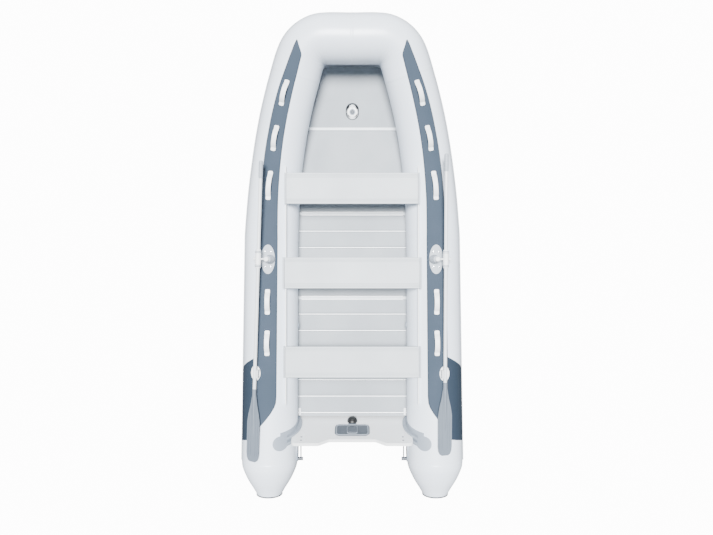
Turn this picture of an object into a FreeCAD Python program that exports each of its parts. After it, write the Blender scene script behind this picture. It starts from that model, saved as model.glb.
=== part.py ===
import FreeCAD, Part
import Sketcher
import math
import os
from FreeCAD import Placement, Rotation, Vector

# Sectional inflatable boat with a panel floor, an inflatable keel, three sliding seats and two oars.
# +Z up, +Y towards the bow, +X to starboard. It stands on the ground on the undersides of its tubes.

doc = FreeCAD.newDocument("InflatableBoat")
sheet = doc.addObject("Spreadsheet::Sheet", "Sizes")
SIZES = {}
X_AXIS, Y_AXIS, Z_AXIS = Vector(1, 0, 0), Vector(0, 1, 0), Vector(0, 0, 1)


class Size:
    """A named size, or a sum of them: its value in mm or degrees and the text that binds it."""

    def __init__(self, text, value):
        self.text, self.value = text, float(value)

    def _join(self, other, sign, value):
        other_text = other.text if isinstance(other, Size) else repr(other)
        return Size("(%s %s %s)" % (self.text, sign, other_text), value)

    def __add__(self, other):
        return self._join(other, "+", self.value + number(other))

    def __sub__(self, other):
        return self._join(other, "-", self.value - number(other))

    def __mul__(self, other):
        return self._join(other, "*", self.value * number(other))

    def __truediv__(self, other):
        return self._join(other, "/", self.value / number(other))

    def __neg__(self):
        return Size("(0 - %s)" % self.text, -self.value)

    def __float__(self):
        return self.value


NIL = Size("0", 0)


def number(size):
    return size.value if isinstance(size, Size) else float(size)


def name_size(alias, value):
    """Puts one driving size in the sheet, in mm or degrees, and hands back its handle."""
    cell = "B%d" % (len(SIZES) + 1)
    sheet.set("A%d" % (len(SIZES) + 1), alias)
    sheet.set(cell, str(value))
    sheet.setAlias(cell, alias)
    SIZES[alias] = Size("Sizes." + alias, value)
    return SIZES[alias]


# Hull tubes
chamber_seam_y = name_size("chamber_seam_y", 170)
seam_spread = name_size("seam_spread", 687)
tube_radius_middle = name_size("tube_radius_middle", 224)
tube_stern_y = name_size("tube_stern_y", 1700)
tube_spread = name_size("tube_spread", 703)
tube_radius_stern = name_size("tube_radius_stern", 235)
tube_radius_bow = name_size("tube_radius_bow", 200)
bow_reach = name_size("bow_reach", 1791)
bow_rise = name_size("bow_rise", 285)
bow_flat_half = name_size("bow_flat_half", 219)
bow_corner_radius = name_size("bow_corner_radius", 215)
bow_turn = name_size("bow_turn", 67)
cone_length = name_size("cone_length", 288)
cap_thickness = name_size("cap_thickness", 12)
cap_rim = name_size("cap_rim", 3.5)
skin_gap = name_size("skin_gap", 0.3)
nose_gap = name_size("nose_gap", 0.95)
pad_lift = name_size("pad_lift", 2.5)
skin_thickness = name_size("skin_thickness", 3)
strake_width = name_size("strake_width", 62)
strake_thickness = name_size("strake_thickness", 8)
pad_aft_y = name_size("pad_aft_y", 1325)
overrun = name_size("overrun", 20)
# Floor and bottom
floor_height = name_size("floor_height", 120)
floor_thickness = name_size("floor_thickness", 15)
floor_joint_bow_y = name_size("floor_joint_bow_y", 1141)
floor_joint_fore_y = name_size("floor_joint_fore_y", 402)
floor_joint_aft_y = name_size("floor_joint_aft_y", 331)
floor_joint_width = name_size("floor_joint_width", 34)
floor_joint_lip = name_size("floor_joint_lip", 3)
floor_aft_gap = name_size("floor_aft_gap", 21)
stringer_aft_gap = name_size("stringer_aft_gap", 66)
floor_bow_length = name_size("floor_bow_length", 500)
floor_bow_slope = name_size("floor_bow_slope", 10)
floor_side_gap = name_size("floor_side_gap", 3.0)
stringer_width = name_size("stringer_width", 16)
stringer_height = name_size("stringer_height", 24)
valve_hole_length = name_size("valve_hole_length", 135)
valve_hole_width = name_size("valve_hole_width", 106)
valve_hole_y = name_size("valve_hole_y", 1287)
latch_length = name_size("latch_length", 62)
latch_width = name_size("latch_width", 20)
latch_height = name_size("latch_height", 9)
hull_thickness = name_size("hull_thickness", 3)
hull_ground = name_size("hull_ground", 10)
hull_aft_y = name_size("hull_aft_y", 1398)
keel_radius = name_size("keel_radius", 44)
keel_strip_width = name_size("keel_strip_width", 48)
keel_strip_thickness = name_size("keel_strip_thickness", 4)
keel_valve_radius = name_size("keel_valve_radius", 26)
keel_valve_cap_radius = name_size("keel_valve_cap_radius", 19)
keel_valve_height = name_size("keel_valve_height", 9)
# Transom
transom_foot_y = name_size("transom_foot_y", 1383)
transom_rake = name_size("transom_rake", 15.9)
transom_thickness = name_size("transom_thickness", 27)
transom_rise = name_size("transom_rise", 395)
transom_dip = name_size("transom_dip", 57)
transom_depth = name_size("transom_depth", 102.3)
transom_keel_drop = name_size("transom_keel_drop", 60.5)
transom_keel_half = name_size("transom_keel_half", 546)
transom_half = name_size("transom_half", 497)
transom_cut_top = name_size("transom_cut_top", 275)
transom_cut_bottom = name_size("transom_cut_bottom", 192)
transom_corner = name_size("transom_corner", 38)
transom_edge = name_size("transom_edge", 3)
holder_skin = name_size("holder_skin", 6)
holder_lip = name_size("holder_lip", 38)
holder_jaw = name_size("holder_jaw", 14)
holder_flange = name_size("holder_flange", 46)
holder_pad_x = name_size("holder_pad_x", 589)
holder_pad_y = name_size("holder_pad_y", 1512)
holder_pad_radius = name_size("holder_pad_radius", 60)
motor_plate_width = name_size("motor_plate_width", 293)
motor_plate_height = name_size("motor_plate_height", 178)
motor_plate_foot = name_size("motor_plate_foot", 108)
motor_plate_thickness = name_size("motor_plate_thickness", 6)
motor_plate_corner = name_size("motor_plate_corner", 48)
motor_tab_width = name_size("motor_tab_width", 68)
motor_tab_height = name_size("motor_tab_height", 16)
outer_plate_height = name_size("outer_plate_height", 205)
drain_up = name_size("drain_up", 46)
drain_bore = name_size("drain_bore", 20)
drain_dome_radius = name_size("drain_dome_radius", 44)
drain_dome_height = name_size("drain_dome_height", 38)
drain_flange = name_size("drain_flange", 36)
drain_flange_thickness = name_size("drain_flange_thickness", 5)
# Seats and rails
bead_spread = name_size("bead_spread", 545)
bead_height = name_size("bead_height", 436.8)
bead_radius = name_size("bead_radius", 6)
bead_gap = name_size("bead_gap", 0.3)
rail_web = name_size("rail_web", 5)
rail_aft_y = name_size("rail_aft_y", 1190)
rail_fore_y = name_size("rail_fore_y", 940)
rail_web_drop = name_size("rail_web_drop", 60)
seat_depth = name_size("seat_depth", 255)
seat_thickness = name_size("seat_thickness", 20)
seat_bottom = name_size("seat_bottom", 447)
seat_half_fore = name_size("seat_half_fore", 554)
seat_half_middle = name_size("seat_half_middle", 568)
seat_half_aft = name_size("seat_half_aft", 562)
seat_fore_y = name_size("seat_fore_y", 580)
seat_middle_y = name_size("seat_middle_y", 111)
seat_aft_y = name_size("seat_aft_y", 840)
seat_cap_length = name_size("seat_cap_length", 14)
seat_edge = name_size("seat_edge", 6)
clip_length = name_size("clip_length", 160)
clip_inboard = name_size("clip_inboard", 18)
clip_outboard = name_size("clip_outboard", 14)
clip_lip = name_size("clip_lip", 2)
clip_slot = name_size("clip_slot", 7.4)
# Oarlocks and oars
lock_spread = name_size("lock_spread", 688)
lock_height = name_size("lock_height", 542)
lock_cant = name_size("lock_cant", 12)
lock_pad_length = name_size("lock_pad_length", 240)
lock_pad_width = name_size("lock_pad_width", 112)
lock_pad_thickness = name_size("lock_pad_thickness", 4)
boss_foot_radius = name_size("boss_foot_radius", 38)
boss_top_radius = name_size("boss_top_radius", 25)
boss_drop = name_size("boss_drop", 24)
boss_reach = name_size("boss_reach", 110)
post_radius = name_size("post_radius", 8)
post_length = name_size("post_length", 46)
post_fit = name_size("post_fit", 0.05)
head_radius = name_size("head_radius", 19)
head_rise = name_size("head_rise", 15)
pin_radius = name_size("pin_radius", 6)
oar_offset = name_size("oar_offset", 70)
pin_tail = name_size("pin_tail", 14)
ring_radius = name_size("ring_radius", 16)
ring_tilt = name_size("ring_tilt", 50)
ring_wire = name_size("ring_wire", 1.6)
port_yaw = name_size("port_yaw", 2.47)
starboard_yaw = name_size("starboard_yaw", 0.35)
oar_dip = name_size("oar_dip", 1.9)
shaft_radius = name_size("shaft_radius", 14)
collar_radius = name_size("collar_radius", 23.5)
collar_length = name_size("collar_length", 150)
collar_fit = name_size("collar_fit", 0.1)
oar_length = name_size("oar_length", 2445)
port_grip_reach = name_size("port_grip_reach", 786)
starboard_grip_reach = name_size("starboard_grip_reach", 845)
grip_radius = name_size("grip_radius", 17)
grip_length = name_size("grip_length", 142)
grip_groove = name_size("grip_groove", 1.5)
blade_length = name_size("blade_length", 600)
blade_width = name_size("blade_width", 120)
blade_thickness = name_size("blade_thickness", 7)
blade_flare = name_size("blade_flare", 262)
blade_tip = name_size("blade_tip", 70)
blade_roll_port = name_size("blade_roll_port", 15)
blade_roll_starboard = name_size("blade_roll_starboard", 3)
blade_rib_width = name_size("blade_rib_width", 6)
blade_rib_height = name_size("blade_rib_height", 3)
blade_rib_pitch = name_size("blade_rib_pitch", 22)
blade_socket = name_size("blade_socket", 17)
rest_inset = name_size("rest_inset", 65)
rest_clearance = name_size("rest_clearance", 5)
rest_pad_length = name_size("rest_pad_length", 122)
rest_pad_width = name_size("rest_pad_width", 82)
rest_length = name_size("rest_length", 64)
rest_shelf = name_size("rest_shelf", 30)
rest_wall = name_size("rest_wall", 9)
rest_wall_rise = name_size("rest_wall_rise", 12)
# Fittings
handle_width = name_size("handle_width", 40)
handle_length = name_size("handle_length", 206)
handle_long = name_size("handle_long", 236)
handle_rise = name_size("handle_rise", 32)
handle_foot = name_size("handle_foot", 26)
handle_thickness = name_size("handle_thickness", 5)
ring_patch_radius = name_size("ring_patch_radius", 62)
ring_patch_length = name_size("ring_patch_length", 196)
stern_handle_y = name_size("stern_handle_y", 1622)
stern_handle_span = name_size("stern_handle_span", 150)
stern_handle_inset = name_size("stern_handle_inset", 462)
stern_handle_reach = name_size("stern_handle_reach", 36)
stern_bar_radius = name_size("stern_bar_radius", 6)
stern_foot_radius = name_size("stern_foot_radius", 15)
tow_ring_radius = name_size("tow_ring_radius", 30)
tow_ring_wire = name_size("tow_ring_wire", 3.5)
tow_lug_width = name_size("tow_lug_width", 12)
tow_drop = name_size("tow_drop", 40)
tow_patch_radius = name_size("tow_patch_radius", 45)
tow_lug_reach = name_size("tow_lug_reach", 13)
patch_thickness = name_size("patch_thickness", 6)
air_valve_radius = name_size("air_valve_radius", 30)
air_valve_y = name_size("air_valve_y", 560)
air_valve_height = name_size("air_valve_height", 9)
air_valve_drop = name_size("air_valve_drop", 8)

doc.recompute()


# Shape of the tubes' centreline ahead of the straight side chambers: where each station lies along the run to
# the nose's corner, how far out, how much of the taper and how much of the rise it has.
BOW_STATION_SHARES = [
    (0.000, 1.000, 1.000, 0.0), (0.110, 0.974, 0.880, 0.0), (0.227, 0.934, 0.750, 0.0),
    (0.330, 0.880, 0.640, 0.020), (0.424, 0.816, 0.530, 0.070), (0.509, 0.744, 0.450, 0.137),
    (0.591, 0.660, 0.370, 0.226), (0.673, 0.560, 0.300, 0.330), (0.753, 0.446, 0.230, 0.440),
    (0.830, 0.322, 0.160, 0.553), (0.912, 0.176, 0.080, 0.685),
]
CORNER_TURN_SHARES = [0.0, 0.16, 0.33, 0.5, 0.67, 0.84, 1.0]
CORNER_RISE_SHARES = [0.826, 0.866, 0.904, 0.938, 0.968, 0.990, 1.0]
CORNER = len(BOW_STATION_SHARES)


def bow_stations():
    """Centre and radius of the nose's rings, from the side chamber's end to the middle of the bow."""
    turn = math.radians(bow_turn.value)
    start = math.pi / 2 - turn
    corner_y = bow_reach.value - bow_corner_radius.value
    end_x = bow_flat_half.value + bow_corner_radius.value * math.cos(start)
    end_y = corner_y + bow_corner_radius.value * math.sin(start)
    taper = tube_radius_middle - tube_radius_bow
    low = tube_radius_bow.value
    rings = []
    for along, out, thick, up in BOW_STATION_SHARES:
        y = chamber_seam_y.value + (end_y - chamber_seam_y.value) * along
        x = end_x + (seam_spread.value - end_x) * out
        rings.append((Vector(x, y, low + taper.value * thick + bow_rise.value * up), tube_radius_bow + taper * thick))
    for share, up in zip(CORNER_TURN_SHARES, CORNER_RISE_SHARES):
        angle = start + turn * share
        rings.append((Vector(bow_flat_half.value + bow_corner_radius.value * math.cos(angle),
                             corner_y + bow_corner_radius.value * math.sin(angle), low + bow_rise.value * up),
                      tube_radius_bow))
    rings.append((Vector(0, bow_reach.value, low + bow_rise.value), tube_radius_bow))
    return rings


STATIONS = bow_stations()
STERN_CENTRE = Vector(tube_spread.value, -tube_stern_y.value, tube_radius_stern.value)
SEAM_CENTRE = STATIONS[0][0]
CHAMBER_AXIS = (SEAM_CENTRE - STERN_CENTRE).normalize()


def centreline():
    points = [ring[0] for ring in STATIONS]
    lead = [STERN_CENTRE + (SEAM_CENTRE - STERN_CENTRE) * share for share in LEAD_SHARES]
    points = lead + points
    mirror = [Vector(-p.x, p.y, p.z) for p in reversed(points[:-1])]
    curve = Part.BSplineCurve()
    curve.interpolate(points + mirror)
    return curve


LEAD_SHARES = [0.0, 0.5, 0.75, 0.92]
CENTRELINE = centreline()


def frame_along(point, along):
    outboard = along.cross(Z_AXIS).normalize()
    up = outboard.cross(along)
    return Placement(point, Rotation(outboard, up, along, "ZXY")), outboard, up, along


def ring_frame(point):
    """Placement whose Z runs along the tube at a point of its centreline and whose X points outboard."""
    if point.y < SEAM_CENTRE.y + skin_gap.value:
        return frame_along(point, CHAMBER_AXIS)
    along = CENTRELINE.tangent(CENTRELINE.parameter(point))[0]
    if abs(point.x) < number(skin_gap):
        along = -X_AXIS
    return frame_along(point, along)


def centre_at(y):
    """Centre and radius of the starboard tube where its centreline crosses y."""
    if y <= SEAM_CENTRE.y:
        share = (y - STERN_CENTRE.y) / (SEAM_CENTRE.y - STERN_CENTRE.y)
        radius = tube_radius_stern.value + (tube_radius_middle - tube_radius_stern).value * share
        return STERN_CENTRE + (SEAM_CENTRE - STERN_CENTRE) * share, radius
    low, high = CENTRELINE.parameter(SEAM_CENTRE), CENTRELINE.parameter(STATIONS[CORNER][0])
    for _ in range(40):
        middle = (low + high) / 2
        if CENTRELINE.value(middle).y < y:
            low = middle
        else:
            high = middle
    radius = tube_radius_bow.value
    for (p0, r0), (p1, r1) in zip(STATIONS[:CORNER], STATIONS[1:CORNER + 1]):
        if p0.y <= y <= p1.y:
            radius = r0.value + (r1.value - r0.value) * (y - p0.y) / (p1.y - p0.y)
    return CENTRELINE.value(low), radius


def tube_height(x, y, grow=0.0):
    """Height of the tube's upper surface over a point of the ground, off the crest."""
    centre, radius = centre_at(y)
    level = centre.z + radius / 2
    for _ in range(12):
        frame, outboard, up, along = ring_frame(centre)
        gap = Vector(x, y, level) - centre
        ahead = gap.dot(along)
        centre, radius = centre_at(centre.y + ahead * along.y)
        side = (Vector(x, y, level) - centre).dot(outboard)
        level = centre.z + math.sqrt(max((radius + grow) ** 2 - side ** 2, 0)) / up.z
    return level


# Building blocks
def bind(obj, prop, size):
    obj.setExpression(prop, size.text)


def make(kind, name, **sizes):
    """A primitive whose sizes are bound to the sheet."""
    obj = doc.addObject(kind, name)
    for prop, size in sizes.items():
        bind(obj, prop, size)
    return obj


def place(obj, x=NIL, y=NIL, z=NIL, rotation=None):
    obj.Placement = Placement(Vector(number(x), number(y), number(z)), rotation or Rotation())
    return obj


def cut(name, base, tool):
    obj = doc.addObject("Part::Cut", name)
    obj.Base, obj.Tool = base, tool
    return obj


def common(name, base, tool):
    obj = doc.addObject("Part::Common", name)
    obj.Base, obj.Tool = base, tool
    return obj


def fuse(name, shapes):
    obj = doc.addObject("Part::MultiFuse", name)
    obj.Shapes = shapes
    return obj


def gather(label, pieces):
    """One node made of several separate solids."""
    obj = doc.addObject("Part::Compound", label)
    obj.Links = pieces
    obj.Label = label
    return obj


def mirrored(name, source):
    obj = doc.addObject("Part::Mirroring", name)
    obj.Source = source
    obj.Normal = X_AXIS
    return obj


def feature(name, shape):
    obj = doc.addObject("Part::Feature", name)
    obj.Shape = shape
    return obj


def new_body(name):
    body = doc.addObject("PartDesign::Body", name)
    body.AllowCompound = True
    return body


def new_sketch(body, role, offset=NIL, name="Outline"):
    sketch = body.newObject("Sketcher::SketchObject", body.Name + name)
    plane = [f for f in body.Origin.OriginFeatures if f.Role == role][0]
    sketch.AttachmentSupport = [(plane, "")]
    sketch.MapMode = "FlatFace"
    if offset is not NIL:
        bind(sketch, "AttachmentOffset.Base.z", offset)
    return sketch


def fix_point(sketch, index, where, x, y):
    for kind, size in (("DistanceX", x), ("DistanceY", y)):
        row = sketch.addConstraint(Sketcher.Constraint(kind, -1, 1, index, where, number(size)))
        if isinstance(size, Size) and size.text != "0":
            sketch.setExpression("Constraints[%d]" % row, size.text)


def outline(sketch, points):
    """A closed outline through named points."""
    first = sketch.GeometryCount
    count = len(points)
    for i, point in enumerate(points):
        ahead = points[(i + 1) % count]
        sketch.addGeometry(Part.LineSegment(Vector(number(point[0]), number(point[1]), 0),
                                            Vector(number(ahead[0]), number(ahead[1]), 0)), False)
    for i in range(count):
        sketch.addConstraint(Sketcher.Constraint("Coincident", first + i, 2, first + (i + 1) % count, 1))
    for i, point in enumerate(points):
        fix_point(sketch, first + i, 1, point[0], point[1])


def circle(sketch, x, y, radius):
    index = sketch.addGeometry(Part.Circle(Vector(number(x), number(y), 0), Z_AXIS, number(radius)), False)
    fix_point(sketch, index, 3, x, y)
    row = sketch.addConstraint(Sketcher.Constraint("Radius", index, number(radius)))
    sketch.setExpression("Constraints[%d]" % row, radius.text)


def pad(body, sketch, length, midplane=False, reverse=False, name="Pad"):
    solid = body.newObject("PartDesign::Pad", body.Name + name)
    solid.Profile = sketch
    solid.Midplane = midplane
    solid.Reversed = reverse
    bind(solid, "Length", length)
    return solid


def pocket(body, sketch, length, midplane=False, reverse=False, name="Pocket"):
    hole = body.newObject("PartDesign::Pocket", body.Name + name)
    hole.Profile = sketch
    hole.Midplane = midplane
    hole.Reversed = reverse
    bind(hole, "Length", length)
    return hole


def revolve(body, sketch, axis="V_Axis", name="Turned"):
    turned = body.newObject("PartDesign::Revolution", body.Name + name)
    turned.Profile = sketch
    turned.ReferenceAxis = (sketch, [axis])
    turned.Angle = 360
    return turned


def round_edges(body, base, radius, wanted, name="Round"):
    """Rounds the edges of the last feature that the test picks."""
    doc.recompute()
    picked = ["Edge%d" % (i + 1) for i, edge in enumerate(base.Shape.Edges) if wanted(edge)]
    if not picked:
        raise RuntimeError("no edges to round on " + body.Name)
    rounded = body.newObject("PartDesign::Fillet", body.Name + name)
    rounded.Base = (base, picked)
    bind(rounded, "Radius", radius)
    return rounded


def runs_along(axis):
    def test(edge):
        if len(edge.Vertexes) < 2 or edge.Curve.TypeId != "Part::GeomLine":
            return False
        way = (edge.Vertexes[1].Point - edge.Vertexes[0].Point).normalize()
        return abs(way.dot(axis)) > 0.999
    return test


# Tubes
def bow_loft(name, lift=NIL):
    """The nose chamber, from seam to seam round the bow, swollen by lift."""
    rings = []
    for index, (point, radius) in enumerate(STATIONS):
        ring = make("Part::Circle", "%sRing%02d" % (name, index), Radius=radius + lift)
        ring.Placement = ring_frame(point)[0]
        rings.append(ring)
    for index, (point, radius) in enumerate(reversed(STATIONS[:-1])):
        ring = make("Part::Circle", "%sPort%02d" % (name, index), Radius=radius + lift)
        frame, outboard, up, along = ring_frame(point)
        flip = Vector(-along.x, -along.y, -along.z)
        side = Vector(-outboard.x, outboard.y, outboard.z)
        across = Vector(along.x, -along.y, -along.z)
        rise = Vector(-up.x, up.y, up.z)
        ring.Placement = Placement(Vector(-point.x, point.y, point.z), Rotation(side, rise, across, "ZXY"))
        rings.append(ring)
    loft = doc.addObject("Part::Loft", name)
    loft.Sections, loft.Solid, loft.Ruled = rings, True, False
    return loft


def chamber(name, lift=NIL):
    """The straight side chamber: a long, slightly tapered cone on the starboard side."""
    length = (SEAM_CENTRE - STERN_CENTRE).Length
    cone = make("Part::Cone", name, Radius1=tube_radius_stern + lift, Radius2=tube_radius_middle + lift)
    cone.Height = length
    cone.Placement = frame_along(STERN_CENTRE, CHAMBER_AXIS)[0]
    return cone


def cone_loft(name, lift=NIL):
    """The tapered tail of the starboard tube."""
    rings = []
    for index, (along, wide) in enumerate(CONE_SHARES):
        ring = make("Part::Circle", "%sRing%02d" % (name, index), Radius=tube_radius_stern * wide + lift)
        ring.Placement = Placement(STERN_CENTRE - CHAMBER_AXIS * cone_length.value * along,
                                   frame_along(STERN_CENTRE, CHAMBER_AXIS)[0].Rotation)
        rings.append(ring)
    loft = doc.addObject("Part::Loft", name)
    loft.Sections, loft.Solid, loft.Ruled = rings, True, False
    return loft


CONE_SHARES = [(0.0, 1.0), (0.12, 0.992), (0.32, 0.915), (0.62, 0.735), (0.83, 0.575), (1.0, 0.458)]

bow_clear = bow_loft("BowClear", skin_gap)
side_clear = chamber("SideClear", skin_gap)
side_clear_port = mirrored("SideClearPort", side_clear)
side_skin = cut("SideSkin", chamber("SideSkinOuter", skin_gap + skin_thickness), side_clear)
pad_clear = chamber("PadClear", nose_gap + skin_gap + skin_thickness)
pad_clear_port = mirrored("PadClearPort", pad_clear)
pad_skin = cut("PadSkin", chamber("PadSkinOuter", nose_gap + skin_gap + skin_thickness + lock_pad_thickness), pad_clear)
pad_skin_port = mirrored("PadSkinPort", pad_skin)
holder_ring = cut("HolderRing", chamber("HolderRingOuter", skin_gap + holder_skin), side_clear)
lip_ring = cut("LipRing", chamber("LipRingOuter", skin_gap + holder_lip), side_clear)
board_clear = chamber("BoardClear", skin_gap * 2 + holder_skin)
cone_clear = cone_loft("ConeClear", skin_gap)


def tubes():
    starboard = chamber("ChamberStarboard")
    bow = bow_loft("tube_bow")
    tail = cone_loft("ConeStarboard")
    cap_radius = tube_radius_stern * CONE_SHARES[-1][1] + cap_rim
    cap = make("Part::Cylinder", "CapBlank", Radius=cap_radius, Height=cap_thickness)
    end = STERN_CENTRE - CHAMBER_AXIS * (cone_length + cap_thickness).value
    cap.Placement = Placement(end, frame_along(end, CHAMBER_AXIS)[0].Rotation)
    doc.recompute()
    soft = doc.addObject("Part::Fillet", "CapStarboard")
    soft.Base = cap
    far = [i + 1 for i, e in enumerate(cap.Shape.Edges)
           if len(e.Vertexes) == 1 and e.CenterOfMass.y < end.y + cap_thickness.value / 2]
    soft.Edges = [(i, cap_thickness.value / 2, cap_thickness.value / 2) for i in far]
    return [gather("tube_sides", [starboard, mirrored("ChamberPort", starboard)]), bow,
            gather("end_cones", [tail, mirrored("ConePort", tail)]),
            gather("cone_caps", [soft, mirrored("CapPort", soft)])]


def strip_section(point, radius, low, high, inner, outer):
    """A band's cross-section on the tube: two arcs and their ends, from angle low to high past the crest."""
    frame, outboard, up, along = ring_frame(point)

    def spot(reach, angle):
        return point + (outboard * math.sin(angle) + up * math.cos(angle)) * reach
    middle = (low + high) / 2
    far, near = radius + outer, radius + inner
    edges = [Part.Arc(spot(far, low), spot(far, middle), spot(far, high)).toShape(),
             Part.LineSegment(spot(far, high), spot(near, high)).toShape(),
             Part.Arc(spot(near, high), spot(near, middle), spot(near, low)).toShape(),
             Part.LineSegment(spot(near, low), spot(far, low)).toShape()]
    return Part.Wire(edges)


def mirror_wire(wire):
    return wire.mirror(Vector(0, 0, 0), X_AXIS)


def rub_strake():
    """Rubbing band round the outside of the tubes."""
    inner, outer = skin_gap.value, (skin_gap + strake_thickness).value
    half = (strake_width / 2).value
    aft = []
    for share in (0.0, 1.0):
        point = STERN_CENTRE + (SEAM_CENTRE - STERN_CENTRE) * share
        radius = tube_radius_stern.value + (tube_radius_middle - tube_radius_stern).value * share
        aft.append(strip_section(point, radius, math.pi / 2 - half / radius, math.pi / 2 + half / radius,
                                 inner, outer))
    side = feature("StrakeStarboard", Part.makeLoft(aft, True, True))
    inner, outer = nose_gap.value, (nose_gap + strake_thickness).value
    rings = [strip_section(p, r.value, math.pi / 2 - half / r.value, math.pi / 2 + half / r.value, inner, outer)
             for p, r in STATIONS]
    rings += [mirror_wire(wire) for wire in reversed(rings[:-1])]
    nose = feature("StrakeBow", Part.makeLoft(rings, True, False))
    return gather("rub_strake", [side, mirrored("StrakePort", side), nose])


# Blue-grey tread pads on the tubes' tops: reach in and out of the crest, as shares of the radius
PAD_AFT_SHARES = [(0.0, 0.20, 0.36), (0.05, 0.33, 0.36), (0.10, 0.36, 0.36), (1.0, 0.33, 0.36)]
PAD_BOW_SHARES = [(0.33, 0.36), (0.315, 0.365), (0.30, 0.37), (0.27, 0.385), (0.25, 0.395), (0.235, 0.40),
                  (0.225, 0.40), (0.22, 0.39), (0.218, 0.38), (0.215, 0.365), (0.21, 0.34), (0.20, 0.29),
                  (0.195, 0.215), (0.14, 0.195), (-0.17, 0.20)]
# How much farther off the tube the pad lies: over the fullness ahead of the seam, and at the pointed tip, where its
# edges turn in fastest
PAD_LIFT_SHARES = [0.0, 0.9, 0.15, 0.05] + [0.0] * 8 + [0.6, 1.0, 1.0]


def tread_pads():
    inner, outer = nose_gap.value, (nose_gap + skin_thickness).value
    aft = []
    for share, low, high in PAD_AFT_SHARES:
        centre, radius = centre_at(-pad_aft_y.value + (SEAM_CENTRE.y + pad_aft_y.value) * share)
        aft.append(strip_section(centre, radius, -math.asin(low), math.asin(high), inner, outer))
    side = feature("PadSideStarboard", Part.makeLoft(aft, True, True))
    spots = [(point, radius.value) for point, radius in STATIONS]
    spots.insert(1, centre_at((spots[0][0].y + spots[1][0].y) / 2))
    rings = [strip_section(point, radius, -math.asin(low), math.asin(high), inner + pad_lift.value * lift,
                           outer + pad_lift.value * lift)
             for (point, radius), (low, high), lift in zip(spots, PAD_BOW_SHARES, PAD_LIFT_SHARES)]
    nose = feature("PadBowStarboard", Part.makeLoft(rings, True, False))
    return gather("tread_pads", [side, nose, mirrored("PadSidePort", side), mirrored("PadBowPort", nose)])


# Dark flank panels near the stern, above and below the rubbing band: corners as shares of the run aft of the middle
# and of the tube's radius
FLANK_REACH_SHARE = 0.385
FLANK_UPPER_SHARES = [(0.463, 1.92), (0.543, 1.135), (0.900, 1.135), (0.868, 1.92)]
FLANK_LOWER_SHARES = [(0.568, 0.845), (0.590, 0.55), (0.925, 0.55), (0.912, 0.845)]


def flank_panels():
    pieces = []
    for name, shares in (("Upper", FLANK_UPPER_SHARES), ("Lower", FLANK_LOWER_SHARES)):
        points = [Vector(0, -tube_stern_y.value * a, tube_radius_stern.value * u) for a, u in shares]
        face = Part.Face(Part.makePolygon(points + points[:1]))
        prism = feature("FlankPrism" + name, face.extrude(X_AXIS * tube_radius_stern.value))
        start = tube_spread.value + tube_radius_stern.value * FLANK_REACH_SHARE
        prism.Placement = Placement(Vector(start, 0, 0), Rotation())
        pieces.append(common("Flank" + name, side_skin, prism))
    return gather("flank_panels", pieces + [mirrored(piece.Name + "Port", piece) for piece in pieces])


# Bottom fabric and keel
# How far along, how much of the bow's rise the keel line has, and the tube's angle where the fabric is glued
HULL_STATION_SHARES = [(-1.0, 0.0, 0.5), (-0.25, 0.0, 0.5), (0.095, 0.0, 0.5), (0.28, 0.0, 0.47),
                       (0.40, 0.002, 0.42), (0.52, 0.012, 0.34), (0.59, 0.035, 0.28), (0.655, 0.072, 0.22),
                       (0.72, 0.125, 0.18), (0.785, 0.20, 0.17), (0.856, 0.31, 0.16), (0.927, 0.50, 0.16),
                       (0.966, 0.76, 0.14)]


def hull_point_rows():
    rows = []
    for along, up, lean in HULL_STATION_SHARES:
        y = (hull_aft_y if along < 0 else bow_reach).value * along
        corner_y = STATIONS[CORNER][0].y
        centre, radius = centre_at(min(y, corner_y))
        half = centre.x - math.sin(lean * math.pi / 2) * radius + overrun.value / 2
        side = centre.z - math.cos(lean * math.pi / 2) * radius
        if y > corner_y:
            ahead = (y - corner_y) / (bow_reach.value - corner_y)
            half = half - (half - bow_flat_half.value) * ahead
            side = side + (bow_rise.value + hull_ground.value - side) * ahead
        rows.append((y, half, side, hull_ground.value + bow_rise.value * up))
    return rows


def hull_bottom():
    rows = hull_point_rows()
    wires = []
    wall = hull_thickness.value
    for index, (y, half, side, keel) in enumerate(rows):
        section = doc.addObject("Part::Polygon", "HullSection%02d" % index)
        section.Nodes = [Vector(-half, y, side), Vector(0, y, keel), Vector(half, y, side),
                         Vector(half, y, side + wall), Vector(0, y, keel + wall), Vector(-half, y, side + wall)]
        section.Close = True
        wires.append(section)
    sheet_loft = doc.addObject("Part::Loft", "HullLoft")
    sheet_loft.Sections, sheet_loft.Solid, sheet_loft.Ruled = wires, True, True
    sheet_cut = cut("HullCutStarboard", sheet_loft, side_clear)
    sheet_cut = cut("HullCutPort", sheet_cut, side_clear_port)
    fabric = cut("hull_bottom", sheet_cut, bow_clear)
    strips = []
    for index, (y, half, side, keel) in enumerate(rows[:-1]):
        wide = keel_strip_width.value / 2
        rise = wide * (side - keel) / half
        low = keel - skin_gap.value
        deep = keel_strip_thickness.value
        strip = doc.addObject("Part::Polygon", "KeelStrip%02d" % index)
        strip.Nodes = [Vector(-wide, y, low + rise), Vector(-wide, y, low + rise - deep),
                       Vector(0, y, low - deep), Vector(wide, y, low + rise - deep),
                       Vector(wide, y, low + rise), Vector(0, y, low)]
        strip.Close = True
        strips.append(strip)
    keel_strip = doc.addObject("Part::Loft", "keel_strip")
    keel_strip.Sections, keel_strip.Solid, keel_strip.Ruled = strips, True, True
    return [fabric, keel_strip]


KEEL_SHARES = [(-0.960, 0.70), (-0.900, 0.99), (0.0, 0.99), (0.40, 0.99), (0.50, 0.95), (0.56, 0.90), (0.649, 0.76),
               (0.72, 0.78), (0.785, 0.72), (0.845, 0.50)]


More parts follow.
